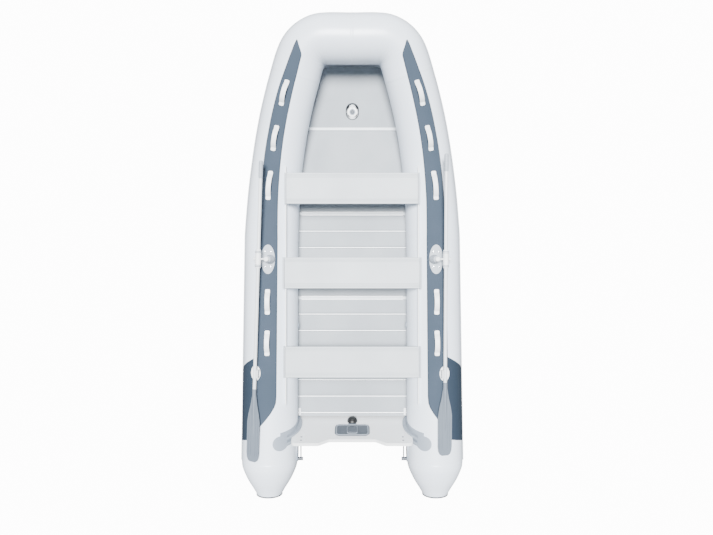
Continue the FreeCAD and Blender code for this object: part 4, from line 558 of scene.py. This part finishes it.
rows_s = np.concatenate([np.linspace(reach_at_y(BOTTOM_START), CORNER_REACH, 150),
                         np.linspace(CORNER_REACH, NOSE_REACH, 60)[1:]])
rows_y = np.interp(rows_s, reach, half_tube[:, 1])
run_y, run_rise, run_edge = HULL_RUN.T
lean = np.interp(rows_y, run_y, run_edge) * np.pi / 2
edge = on_tube(rows_s, -(np.pi - lean), GLUE_LIFT)
ahead = np.clip(1 - rows_s / CORNER_REACH, 0, 1)
keel_y = np.where(ahead > 0, KEEL_TURN_UP + (NOSE_KEEL[0] - KEEL_TURN_UP) * ahead, edge[:, 1])
keel_z = np.interp(keel_y, np.append(run_y, NOSE_KEEL[0]),
                   np.append(BOTTOM_GROUND + BOW_RISE * run_rise, NOSE_KEEL[1]))
t = np.linspace(-1, 1, 61)
vee = np.clip(np.sqrt(t ** 2 + KEEL_SOFT ** 2) - KEEL_SOFT * (1 - np.abs(t)), 0, 1)
# the V's share of the height is raised to a power above 1 where the section is fuller
fuller = 1 + FULLER_BY * soft_step((rows_y - FULLER_FROM) / FULLER_RUN)
wall_height = edge[:, 2] - keel_z - BOTTOM_WALL
over = grid_of(edge[:, :1] * t, keel_y[:, None] + (edge[:, 1] - keel_y)[:, None] * np.abs(t),
               keel_z[:, None] + BOTTOM_WALL + wall_height[:, None] * vee ** fuller[:, None])
bottom = grid_piece("bottom_fabric", sheet_loop(over - (0, 0, BOTTOM_WALL), over),
                    uv=(rows_s, np.concatenate([t, t[::-1], t[:1]]) * 0.5))
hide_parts("hull_bottom")
made_of(bottom, pvc_grey)

# place along the boat, radius as a share of the keel's, height of its top
KEEL_RUN = np.array([(-1.328, 0.70, 0.1017), (-1.245, 0.99, 0.1017), (0.0, 0.99, 0.1017), (0.716, 0.99, 0.1017),
                     (0.8955, 0.95, 0.1017), (1.003, 0.90, 0.1017), (1.162, 0.76, 0.1017), (1.2895, 0.78, 0.1298),
                     (1.406, 0.72, 0.1503), (1.513, 0.50, 0.1692)])
KEEL_RADIUS = 0.044
ky = np.unique(np.concatenate([np.linspace(KEEL_RUN[0, 0], KEEL_RUN[-1, 0], 90), KEEL_RUN[:, 0]]))
kr = np.interp(ky, KEEL_RUN[:, 0], KEEL_RUN[:, 1] * KEEL_RADIUS)[:, None]
kt = np.interp(ky, KEEL_RUN[:, 0], KEEL_RUN[:, 2])[:, None]
turn = once_round(40)
keel_tube = grid_piece("inflated_keel", grid_of(kr * np.sin(turn), ky[:, None], kt - kr + kr * np.cos(turn)),
                       uv=(ky, np.append(turn, 2 * np.pi) * KEEL_RADIUS))
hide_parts("keel_tube")
made_of(keel_tube, pvc_grey)
print("bottom and keel faces:", len(bottom.data.polygons), len(keel_tube.data.polygons))

# %% [markdown]
# The three flat floor boards are built of interlocking aluminium planks 143 mm deep. A board is its side outline
# across and a height profile along: where two planks meet there is a low swell between two grooves, and on it lies
# a strip, the raised bead that shows from above; its much paler tone than the planks is painted highlight. The two
# joint bars have a bead on each edge, painted as pale.

# %% Floor boards
LINE_HEIGHT = 0.0004


def brushed_metal(name, light, dark, roughness, line_mm, metallic, strength=0.2):
    """Drawn metal: fine lines across the boat, a slow drift in tone and a satin sheen."""
    material, tree, surface, place = drifting(name, light, dark, roughness, 3.0, (-0.05, 0.07), Metallic=metallic)
    mapped = add_node(tree, "ShaderNodeMapping", {"Scale": (1.5, 1000 / line_mm, 30.0)},
                      Vector=place.outputs["Object"])
    bump_from(tree, surface, noise_of(tree, mapped.outputs["Vector"], 1.0, 3.0), strength, LINE_HEIGHT)
    return material


plank_metal = brushed_metal("anodised_aluminium_planks", "#969ca1", "#8b9197", 0.6, 3.0, 0.2)
seat_metal = brushed_metal("anodised_aluminium_seat", "#bcc2c6", "#b3b9be", 0.6, 2.5, 0.2)
bar_metal = brushed_metal("anodised_aluminium_bar", "#c2c7cb", "#b9bfc3", 0.5, 2.0, 0.2)
# the beads are much paler than the planks of the same anodised metal: painted highlight on the raised strips
highlight_bead_metal = brushed_metal("anodised_aluminium_bead_painted_highlight", "#f1f3f4", "#e9ecee", 0.35, 2.0, 0.3)

PLANK_PITCH, BOARD_TOP, BOARD_UNDER, BOARD_COLUMNS = 0.143, 0.120, 0.105, 13
# where one pair of planks meets on each board; on the fore board the planks lie flush, with no bead
PLANKS_MEET = {"floor_panel_fore": 0.42, "floor_panel_middle": 0.2493, "floor_panel_aft": -0.4738}
NEAR_BEAD_MM = np.array([-13, -11, -10, -9, -8, -6, -4, -2, 0, 2, 4, 6, 8, 9, 10, 11, 13])
STRIP_HALF, STRIP_RISE, STRIP_SINK, STRIP_POINTS = 0.0042, 0.0034, 0.0012, 9
END_GAP, STRIP_LIFT, EDGE_MARGIN = 0.004, -0.0005, 0.02
JOINT_BARS_Y, JOINT_EDGE, JOINT_HALF, JOINT_SINK = (0.402, -0.331), 0.013, 0.44, 0.0008
SWELL_RISE, SWELL_HALF, DIP_DEPTH, DIP_PLACE, DIP_HALF = 0.0026, 0.004, 0.0012, 0.009, 0.002


def board_profile(y, start):
    """Height above the board's top at y: a swell between two grooves at every plank pitch from start."""
    off = ((y - start) / PLANK_PITCH - np.round((y - start) / PLANK_PITCH)) * PLANK_PITCH
    swell = SWELL_RISE * np.exp(-(off / SWELL_HALF) ** 2)
    return swell - DIP_DEPTH * np.exp(-((np.abs(off) - DIP_PLACE) / DIP_HALF) ** 2)


def bead_strip(name, y, half, z):
    """Bead across a board at y, painted pale as highlight: half an ellipse over a flat underside."""
    turn = np.linspace(0, np.pi, STRIP_POINTS)
    off_y = STRIP_HALF * np.cos(np.concatenate([turn, turn[::-1]]))
    off_z = np.concatenate([STRIP_RISE * np.sin(turn), np.full(STRIP_POINTS, -STRIP_SINK)])
    points = grid_of(np.array([[-half], [half]]), y + off_y, z + off_z)
    made_of(grid_piece(name, points), highlight_bead_metal)


for node, meet in PLANKS_MEET.items():
    proud = node != "floor_panel_fore"
    low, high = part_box(node)
    co = points_of(node)
    right = co[(co[:, 0] > 0.2) & (co[:, 2] > high.z - 0.001)]
    right = right[np.argsort(right[:, 1])]
    beads = meet + PLANK_PITCH * np.arange(-60, 60)
    near = (beads[:, None] + NEAR_BEAD_MM / 1000).ravel()
    ys = np.unique(np.concatenate([np.linspace(low.y, high.y, 40), near[(near > low.y) & (near < high.y)]]))
    x_share = np.linspace(-1, 1, BOARD_COLUMNS)
    top = grid_of(np.interp(ys, right[:, 1], right[:, 0])[:, None] * x_share, ys[:, None],
                  (BOARD_TOP + board_profile(ys, meet) * proud)[:, None])
    low_face = grid_of(top[..., 0], top[..., 1], BOARD_UNDER)
    board = grid_piece(node + "_planks", sheet_loop(top, low_face),
                       uv=(ys, np.concatenate([x_share, x_share[::-1], x_share[:1]]) * 0.45), sharp=40)
    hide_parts(node)
    made_of(board, plank_metal)
    shown = beads[(beads > low.y + EDGE_MARGIN) & (beads < high.y - EDGE_MARGIN) & proud]
    for index, bead_y in enumerate(shown):
        half = float(np.interp(bead_y, right[:, 1], right[:, 0])) - END_GAP
        bead_strip(node + "_bead_%d" % index, bead_y, half, BOARD_TOP + STRIP_LIFT)
    print(node, "beads:", len(shown))
for index, bar_y in enumerate(JOINT_BARS_Y):
    for edge_name, shift in (("fore", JOINT_EDGE), ("aft", -JOINT_EDGE)):
        bead_strip("joint_bead_%d_%s" % (index, edge_name), bar_y + shift, JOINT_HALF,
                   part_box("floor_joints")[1].z - JOINT_SINK)

# %% [markdown]
# The nose board ends in a fore sheet that lies on it and fills the nose to the tube, with rounded corners. Its half
# width is the smaller of the room to the tube at the board's height and a share of the bottom fabric's width.

# %% Nose sheet
NOSE_TILT, NOSE_JOINT_Y = math.radians(10), 1.141
SHEET_START, CORNER_START, CORNER_SIZE = 1.38, 1.595, 0.055
SHEET_LIFT, SHEET_DEEP, SHEET_GAP, BOTTOM_SHARE = 0.0006, 0.008, 0.003, 0.74
round_off = np.linspace(0.12, np.pi / 2, 9)
sheet_y = np.concatenate([np.linspace(SHEET_START, CORNER_START, 23), CORNER_START + CORNER_SIZE * np.sin(round_off)])
sheet_z = BOARD_TOP + (sheet_y - NOSE_JOINT_Y) * math.tan(NOSE_TILT)
sheet_s = reach_at_y(sheet_y)
centre = read_line(half_tube, sheet_s)
inward = np.sqrt(np.clip(radius_at(sheet_s) ** 2 - (centre[:, 2] - sheet_z) ** 2, 0.0004, None))
half_sheet = np.minimum(centre[:, 0] - inward - SHEET_GAP, BOTTOM_SHARE * np.interp(sheet_y, rows_y, edge[:, 0]))
half_sheet[-len(round_off):] -= CORNER_SIZE * (1 - np.cos(round_off))
sheet_top = grid_of(half_sheet[:, None] * x_share, sheet_y[:, None], sheet_z[:, None] + SHEET_LIFT)
sheet = grid_piece("nose_sheet", sheet_loop(sheet_top, sheet_top - (0, 0, SHEET_DEEP)))
made_of(sheet, plank_metal)
print("nose sheet half widths:", half_sheet.round(3)[::6])

# %% [markdown]
# The grab handles are soft moulded straps. The path is a low arch along the tube, and the section carried along it
# is a rounded slab with a hollow down its middle.

# %% Grab handles
moulded_white = moulded("moulded_nylon_white", "#f6f8f9", "#edf0f2", 0.42, 9.0, 700.0, ior=1.53)
# place as a share of the bow's, how far off the crest as a sine, length
HANDLES = [(0.770, 0.08, 0.206), (0.572, 0.09, 0.206), (0.341, 0.08, 0.236), (-0.195, 0.0, 0.206),
           (-0.383, 0.0, 0.206)]
HANDLE_WIDTH, HANDLE_THICK, HANDLE_RISE, HANDLE_FOOT, FOOT_LIFT = 0.040, 0.005, 0.032, 0.026, 0.0042
ARCH = np.array([(0.0, 0.0), (0.10, 0.42), (0.22, 0.76), (0.36, 0.95), (0.50, 1.0), (0.64, 0.95), (0.78, 0.76),
                 (0.90, 0.42), (1.0, 0.0)])


def handle_frame(share, off, length):
    """Seat, way along and normal of a handle, asin(off) off the crest and lifted until its feet clear the tube."""
    s0 = reach_at_y([BOW_Y * share])
    centre, way, out, up = (read_line(line, s0)[0] for line in (half_tube, forward, outboard, upward))
    radius, lean = float(radius_at(s0)[0]), math.asin(off)
    normal = up * math.cos(lean) + out * math.sin(lean)
    rises = [0.0]
    for end in (-1, 1):
        s1 = reach_at_y([BOW_Y * share + length / 2 * way[1] * end])
        step, wide = read_line(half_tube, s1)[0] - centre, float(radius_at(s1)[0])
        rises.append(step @ normal + wide - radius - (step @ np.cross(way, normal)) ** 2 / wide / 2)
    return centre + normal * (radius + FOOT_LIFT + max(rises)), way, normal


def handle_points(share, off, length):
    """Strap: a rounded slab along the arch, narrower at mid span, its top hollowed by a quarter of the thickness."""
    seat, way, normal = handle_frame(share, off, length)
    u = np.concatenate([np.linspace(-1, -0.001, 8), np.linspace(0, 1, 40), np.linspace(1.001, 2, 8)])
    inside = np.clip(u, 0, 1)
    span = length / 2 - HANDLE_FOOT
    along = np.interp(u, [-1, 0, 1, 2], [-length / 2, -span, span, length / 2])
    rise = np.where((u < 0) | (u > 1), 0, smooth_through(ARCH[:, 1:], ARCH[:, 0], inside)[:, 0] * HANDLE_RISE)
    end = np.clip(np.minimum(u + 1, 2 - u) / 0.35, 0, 1)
    wide = HANDLE_WIDTH / 2 * (0.55 + 0.45 * np.sqrt(1 - (1 - end) ** 2)) * (1 - 0.05 * np.sin(np.pi * inside) ** 2)
    a = once_round(28)
    cx, cz = squared_off(np.cos(a), 0.35), squared_off(np.sin(a), 0.55)
    hollow = np.where(cz > 0, 1 - 0.28 * np.exp(-(cx / 0.55) ** 2), 1)
    height = rise[:, None] + HANDLE_THICK / 2 * (1 + cz * hollow)
    return (seat + way * along[:, None, None] + np.cross(way, normal) * (wide[:, None] * cx)[..., None]
            + normal * height[..., None])


for name, mirror in SIDES:
    for index, (share, off, length) in enumerate(HANDLES):
        points = handle_points(share, off, length) * (mirror, 1, 1)
        strap = grid_piece("grab_handle_%s_%d" % (name, index), points)
        made_of(strap, moulded_white)
        if index == 0:
            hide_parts("handles_" + name)
print("grab handles:", len(HANDLES) * len(SIDES))

# %% [markdown]
# The rest of the finishes are for the rigid solids, which keep their shapes: painted plywood for the transom,
# moulded plastics and rubber, extruded rails, powder-coated oar shafts, and polished steel for the stern's bars and
# the bow ring.

# %% More finishes
painted_ply = moulded("painted_marine_plywood", "#f3f5f6", "#eaedef", 0.3, 3.0, 180.0, 0.08, coat=0.4)
grey_plastic = moulded("moulded_pvc_grey", "#8f98a3", "#848e9a", 0.5)
seat_plastic = moulded("moulded_seat_end_grey", "#a9b0b8", "#9fa7b0", 0.5)
plate_plastic = moulded("moulded_abs_grey", "#4c535c", "#424952", 0.5, strength=0.3)
black_plastic = moulded("moulded_abs_black", "#0d0e10", "#090a0b", 0.5)
dark_rubber = moulded("moulded_rubber_dark_grey", "#2c3138", "#24282f", 0.6)
white_plastic = moulded("extruded_pvc_white", "#f2f4f5", "#e8ebed", 0.38)
stipple_grey = moulded("stippled_pvc_light_grey", "#aab1b9", "#99a1aa", 0.55, 30.0, 240.0, 0.5)
blade_plastic = moulded("moulded_polypropylene_grey", "#6b747f", "#5f6873", 0.5)
shaft_coat = moulded("powder_coated_aluminium_white", "#dfe3e6", "#d5dade", 0.35, 4.0, 900.0, 0.1)
steel = brushed_metal("polished_stainless_steel", "#d4d6d8", "#c6c9cc", 0.2, 0.8, 1.0, 0.05)

FINISHES = [
    (dark_rubber, "cone_caps keel_strip"), (grey_plastic, "keel_valve transom_holders ring_bases air_valves"),
    (plank_metal, "floor_panel_bow"), (bar_metal, "floor_joints floor_stringers"), (painted_ply, "transom_board"),
    (white_plastic, "floor_latches seat_rails oar_rests oar_collar_port oar_collar_starboard"),
    (plate_plastic, "motor_plate_inner motor_plate_outer stern_fittings"), (black_plastic, "drain_valve"),
    (stipple_grey, "oarlock_bases oar_grip_port oar_grip_starboard"), (steel, "stern_bars bow_ring"),
    (moulded_white, "oarlock_swivel_port oarlock_swivel_starboard"),
    (seat_metal, "seat_board_fore seat_board_middle seat_board_aft"),
    (seat_plastic, "seat_ends_fore seat_ends_middle seat_ends_aft"),
    (shaft_coat, "oar_shaft_port oar_shaft_starboard"), (blade_plastic, "oar_blade_port oar_blade_starboard")]
finished = [(node, material) for material, names in FINISHES for node in names.split()]
for node, material in finished:
    solid = nodes_of_boat[node]
    if not solid.material_slots:
        solid.data.materials.append(material)
    for slot in solid.material_slots:
        slot.material = material
print("solids with a finish of their own:", len(finished))

# %% [markdown]
# Each seat is an extruded board with rounded long edges and shallow grip grooves: one closed section carried across
# the boat.

# %% Seat boards
SEAT_CORNER, SEAT_GAP, END_SHRINK = 0.005, 0.003, 0.994
GROOVES, GROOVE_HALF, GROOVE_DEEP = np.array([0.112, 0.101, 0.090]), 0.0025, 0.0012


def seat_section(depth, thick):
    """Closed section over the top and back below: quarter-circle corners, and each groove a cosine dip."""
    corner = np.linspace(0, np.pi / 2, 6)
    y = np.linspace(-depth / 2 + SEAT_CORNER, depth / 2 - SEAT_CORNER, 161)
    off = np.abs(np.abs(y)[:, None] - GROOVES)
    z = -GROOVE_DEEP * np.sum(np.where(off < GROOVE_HALF, 0.5 + 0.5 * np.cos(np.pi * off / GROOVE_HALF), 0), 1)
    edge_y, edge_z = SEAT_CORNER * (1 - np.cos(corner)), SEAT_CORNER * (1 - np.sin(corner))
    top_y = np.concatenate([-depth / 2 + edge_y, y, (depth / 2 - edge_y)[::-1]])
    top_z = np.concatenate([-edge_z, z, -edge_z[::-1]])
    return np.concatenate([top_y, top_y[::-1]]), np.concatenate([top_z, -thick - top_z[::-1]])


ROWS = ("fore", "middle", "aft")
for row in ROWS:
    low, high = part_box("seat_board_" + row)
    section_y, section_z = seat_section(high.y - low.y, high.z - low.z)
    x = np.array([low.x + SEAT_GAP, low.x + 0.005, high.x - 0.005, high.x - SEAT_GAP])
    shrink = np.array([END_SHRINK, 1, 1, END_SHRINK])
    points = grid_of(x[:, None], (low.y + high.y) / 2 + section_y * shrink[:, None], high.z + section_z)
    plank = grid_piece("seat_plank_" + row, points, "seat_" + row, sharp=30)
    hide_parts("seat_board_" + row)
    made_of(plank, seat_metal)
print("seat boards:", len(ROWS), "of", len(section_y), "points a section")

# %% [markdown]
# Screws, bolts and the keel valve's cap are turned shapes. One helper spins a profile of radius and height about an
# axis. A recessed screw head is such a profile with a dip in the middle.

# %% Turned details
def turned(name, profile, place, axis, material, turns=20, body="boat"):
    """Closed shape spun about a unit axis: place + axis * height + (side cos + across sin) * radius."""
    side = np.cross(axis, (0, 1, 0) if abs(axis[1]) < 0.9 else (1, 0, 0))
    side /= np.linalg.norm(side)
    across = np.cross(axis, side)
    turn = once_round(turns)[:, None]
    radius, height = np.array(profile, float).T[..., None, None]
    points = place + axis * height + (side * np.cos(turn) + across * np.sin(turn)) * radius
    return made_of(grid_piece(name, points, body), material)


def screw(name, r, place, axis):
    """Steel pan head of radius r: a rounded rim round a dished middle."""
    turned(name, HEAD_PROFILE * (r, 1), place, axis, steel)


# radius as a share of the head's, height
HEAD_PROFILE = np.array([(0.9, -0.0015), (1.0, 0.0), (1.0, 0.0006), (0.86, 0.0017), (0.55, 0.002), (0.42, 0.0012),
                         (0.12, 0.0010)])
BASE_SCREWS, BASE_HEIGHT = ((0.062, 0.105), (0.062, -0.105), (-0.062, 0.105), (-0.062, -0.105)), 0.0115
for name, mirror in SIDES:
    for index, (along, off) in enumerate(BASE_SCREWS):
        base, out = on_tube(float(reach_at_y(along)) * mirror, off, np.array([0.0, 0.02]))
        way = (out - base) / np.linalg.norm(out - base)
        screw("oarlock_screw_%s_%d" % (name, index), 0.0062, base + way * BASE_HEIGHT, way)

RIGHT, RAKE = np.array([1, 0, 0]), math.radians(15.9)
# foot, way up and way out of the transom's inner face and of the nose board's top
TRANSOM = (np.array([0, -1.383, BOARD_TOP]), np.array([0, -math.sin(RAKE), math.cos(RAKE)]),
           np.array([0, math.cos(RAKE), math.sin(RAKE)]))
NOSE_BOARD = (np.array([0, NOSE_JOINT_Y, BOARD_TOP]), np.array([0, math.cos(NOSE_TILT), math.sin(NOSE_TILT)]),
              np.array([0, -math.sin(NOSE_TILT), math.cos(NOSE_TILT)]))


def on_face(face, x, height, lift):
    """Points on a flat face: its foot + right * x + way up * height + way out * lift."""
    x, height, lift = np.broadcast_arrays(x, height, lift)
    return face[0] + RIGHT * x[..., None] + face[1] * height[..., None] + face[2] * lift[..., None]


# across and up the face
HOLDER_BOLTS = ((-0.418, 0.352), (0.418, 0.352), (-0.418, 0.300), (0.418, 0.300))
PLATE_SCREWS = ((-0.132, 0.125), (0.132, 0.125), (-0.132, 0.269), (0.132, 0.269))
for kind, places, radius, lift in (("transom_bolt", HOLDER_BOLTS, 0.009, 0.0004),
                                   ("plate_screw", PLATE_SCREWS, 0.0065, 0.0066)):
    for index, (x, height) in enumerate(places):
        screw("%s_%d" % (kind, index), radius, on_face(TRANSOM, x, height, lift), TRANSOM[2])

PLATE_MIDDLE, PLATE_HALF, PLATE_LIFT = 0.197, 0.143, 0.0062
BLOCK = np.array([(0.036, -0.004), (0.040, 0.0), (0.040, 0.007), (0.037, 0.0095), (0.018, 0.0100)])
BLOCK_TALLER = 1.15
turn, section = once_round(96), once_round(12)
round_x, round_z = squared_off(np.cos(turn), 0.25), squared_off(np.sin(turn), 0.25)


def plate_ring(name, half_x, half_z, wide, high):
    """Raised rim on the clamp plate: an oval section carried round a squared-off ellipse."""
    swell = wide * np.cos(section)
    points = on_face(TRANSOM, round_x[:, None] * (half_x + swell), PLATE_MIDDLE + round_z[:, None] * (half_z + swell),
                     PLATE_LIFT + high * np.sin(section))
    made_of(grid_piece(name, points, along=True), grey_plastic)


plate_ring("plate_rim", PLATE_HALF - 0.010, 0.079, 0.005, 0.0032)
plate_ring("plate_window_port", 0.040, 0.055, 0.004, 0.0030)
block_points = on_face(TRANSOM, BLOCK[:, :1] * round_x, PLATE_MIDDLE + BLOCK[:, :1] * BLOCK_TALLER * round_z,
                       PLATE_LIFT + BLOCK[:, 1:])
made_of(grid_piece("plate_block", block_points), plate_plastic)

CAP_PROFILE = [(0.0165, -0.004), (0.018, -0.002), (0.018, 0.0015), (0.0165, 0.003), (0.012, 0.0034), (0.011, 0.002),
               (0.0015, 0.0018)]
FLANGE_PROFILE = [(0.0415, -0.002), (0.043, 0.0), (0.042, 0.0012), (0.022, 0.003), (0.010, 0.0032)]
CAP_SINK, FLANGE_DROP = 0.003, 0.012
lid_out = NOSE_BOARD[2]
low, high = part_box("keel_valve")
cap_place = np.array([0, (low.y + high.y) / 2, high.z - CAP_SINK])
turned("keel_valve_cap", CAP_PROFILE, cap_place, lid_out, plate_plastic, 28)
turned("keel_valve_flange", FLANGE_PROFILE, cap_place - lid_out * FLANGE_DROP, lid_out, moulded_white,
       32)
print("screws and bolts:", len(BASE_SCREWS) * len(SIDES) + len(HOLDER_BOLTS) + len(PLATE_SCREWS))

# %% [markdown]
# Each oar's collar is a moulded sleeve with raised rings, which keep the oarlock's fork in its place. The rings are
# turned about the shaft's axis, found from the middles of the shaft's two ends, and ride on the oar.

# %% Collar rings
RING_SHARES = (-0.40, -0.33, 0.33, 0.40)
RING_PROFILE = np.array([(0.97, -0.003), (1.06, -0.0018), (1.06, 0.0018), (0.97, 0.003)])  # radius in sleeve radii
END_DEPTH = 0.004


def ends_of(node):
    """Middles of a long solid's two ends along Y, from the points near each end."""
    co = points_of(node)
    aft, fore = co[co[:, 1] < co[:, 1].min() + END_DEPTH], co[co[:, 1] > co[:, 1].max() - END_DEPTH]
    return (aft.min(0) + aft.max(0)) / 2, (fore.min(0) + fore.max(0)) / 2


for name, _ in SIDES[::-1]:
    shaft_aft, shaft_fore = ends_of("oar_shaft_" + name)
    shaft_way = (shaft_fore - shaft_aft) / np.linalg.norm(shaft_fore - shaft_aft)
    low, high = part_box("oar_collar_" + name)
    sleeve, wide = high.y - low.y, (high.x - low.x) / 2
    middle = shaft_aft + shaft_way * (((low.y + high.y) / 2 - shaft_aft[1]) / shaft_way[1])
    for index, share in enumerate(RING_SHARES):
        turned("collar_ring_%s_%d" % (name, index), RING_PROFILE * (wide, 1), middle + shaft_way * share * sleeve,
               shaft_way, grey_plastic, 28, body="oar_" + name)
print("collar rings:", len(RING_SHARES) * len(SIDES))

# %% [markdown]
# A soft rubber gasket lines the oval hole in the bow board, and its dark rubber also stands in as painted shade at
# the hole's edge. It is a small round section carried round the hole's outline, two half circles joined by straight
# sides.

# %% Valve hole gasket and painted shade
HOLE_WIDTH, HOLE_LENGTH, HOLE_Y = 0.106, 0.135, 1.287
GASKET_SHADE_HALF, GASKET_SHADE_RISE, GASKET_SHADE_LIFT = 0.0036, 0.0030, 0.0006
u = once_round(96)[:, None]
straight = (HOLE_LENGTH - HOLE_WIDTH) / 2 * np.sign(np.sin(u)) * np.clip(np.abs(np.sin(u)) * 8, 0, 1)
swell = HOLE_WIDTH / 2 + GASKET_SHADE_HALF * np.cos(section) + GASKET_SHADE_LIFT
up_board = (HOLE_Y - NOSE_JOINT_Y) / math.cos(NOSE_TILT) + np.sin(u) * swell + straight
points = on_face(NOSE_BOARD, np.cos(u) * swell, up_board, GASKET_SHADE_RISE * np.sin(section) + GASKET_SHADE_LIFT)
# the gasket's dark rubber ring also stands in as painted shade along the hole's edge
gasket = grid_piece("valve_hole_gasket_and_shade", points, along=True)
made_of(gasket, dark_rubber)
print("gasket faces:", len(gasket.data.polygons))

# %% [markdown]
# The room is a wide bowl that glows by itself, so the boat stands on plain white with no horizon. Its glow lights
# the bowl alone; a broad soft light overhead and a pale sky all round light the boat, so the tubes shade gently.

# %% Floor and light
BOWL_FLAT, BOWL_START, BOWL_SIZE = [0.01, 4.0, 9.0], 12, 20
PAPER_GLOW, SKY_STRENGTH, SOFTBOX_STRENGTH, SOFTBOX_DEGREES, SOFTBOX_TILT = 13.0, 0.45, 13.5, 22, (-9, -2)
curve = np.linspace(0, np.pi / 2, 24)
bowl_radius = np.concatenate([BOWL_FLAT, BOWL_START + BOWL_SIZE * np.sin(curve)])[:, None]
bowl_height = np.concatenate([[0, 0, 0], BOWL_SIZE * (1 - np.cos(curve))])[:, None]
turn = np.linspace(0, 2 * np.pi, 73)
bowl = grid_of(bowl_radius * np.cos(turn), bowl_radius * np.sin(turn), bowl_height)
floor = grid_piece("studio_floor", bowl, around=False, caps=False)
paper, _, _ = new_material("studio_paper", "#2a2b2c", 0.9, Emission_Color=linear("#ffffff"),
                           Emission_Strength=PAPER_GLOW)
floor.data.materials.append(paper)
lit_by_floor = bpy.data.collections.new("lit_by_floor")
lit_by_floor.objects.link(floor)
floor.light_linking.receiver_collection = lit_by_floor

world = bpy.data.worlds.new("studio")
bpy.context.scene.world = world
world.use_nodes = True
sky = world.node_tree.nodes["Background"]
sky.inputs["Color"].default_value, sky.inputs["Strength"].default_value = linear("#dfe9f5"), SKY_STRENGTH

softbox = bpy.data.lights.new("overhead_softbox", "SUN")
softbox.energy, softbox.angle = SOFTBOX_STRENGTH, math.radians(SOFTBOX_DEGREES)
softbox_object = bpy.data.objects.new("overhead_softbox", softbox)
softbox_object.rotation_euler = [math.radians(tilt) for tilt in SOFTBOX_TILT] + [0]
bpy.context.scene.collection.objects.link(softbox_object)
print("paper glow", PAPER_GLOW, "sky", SKY_STRENGTH, "softbox", SOFTBOX_STRENGTH)
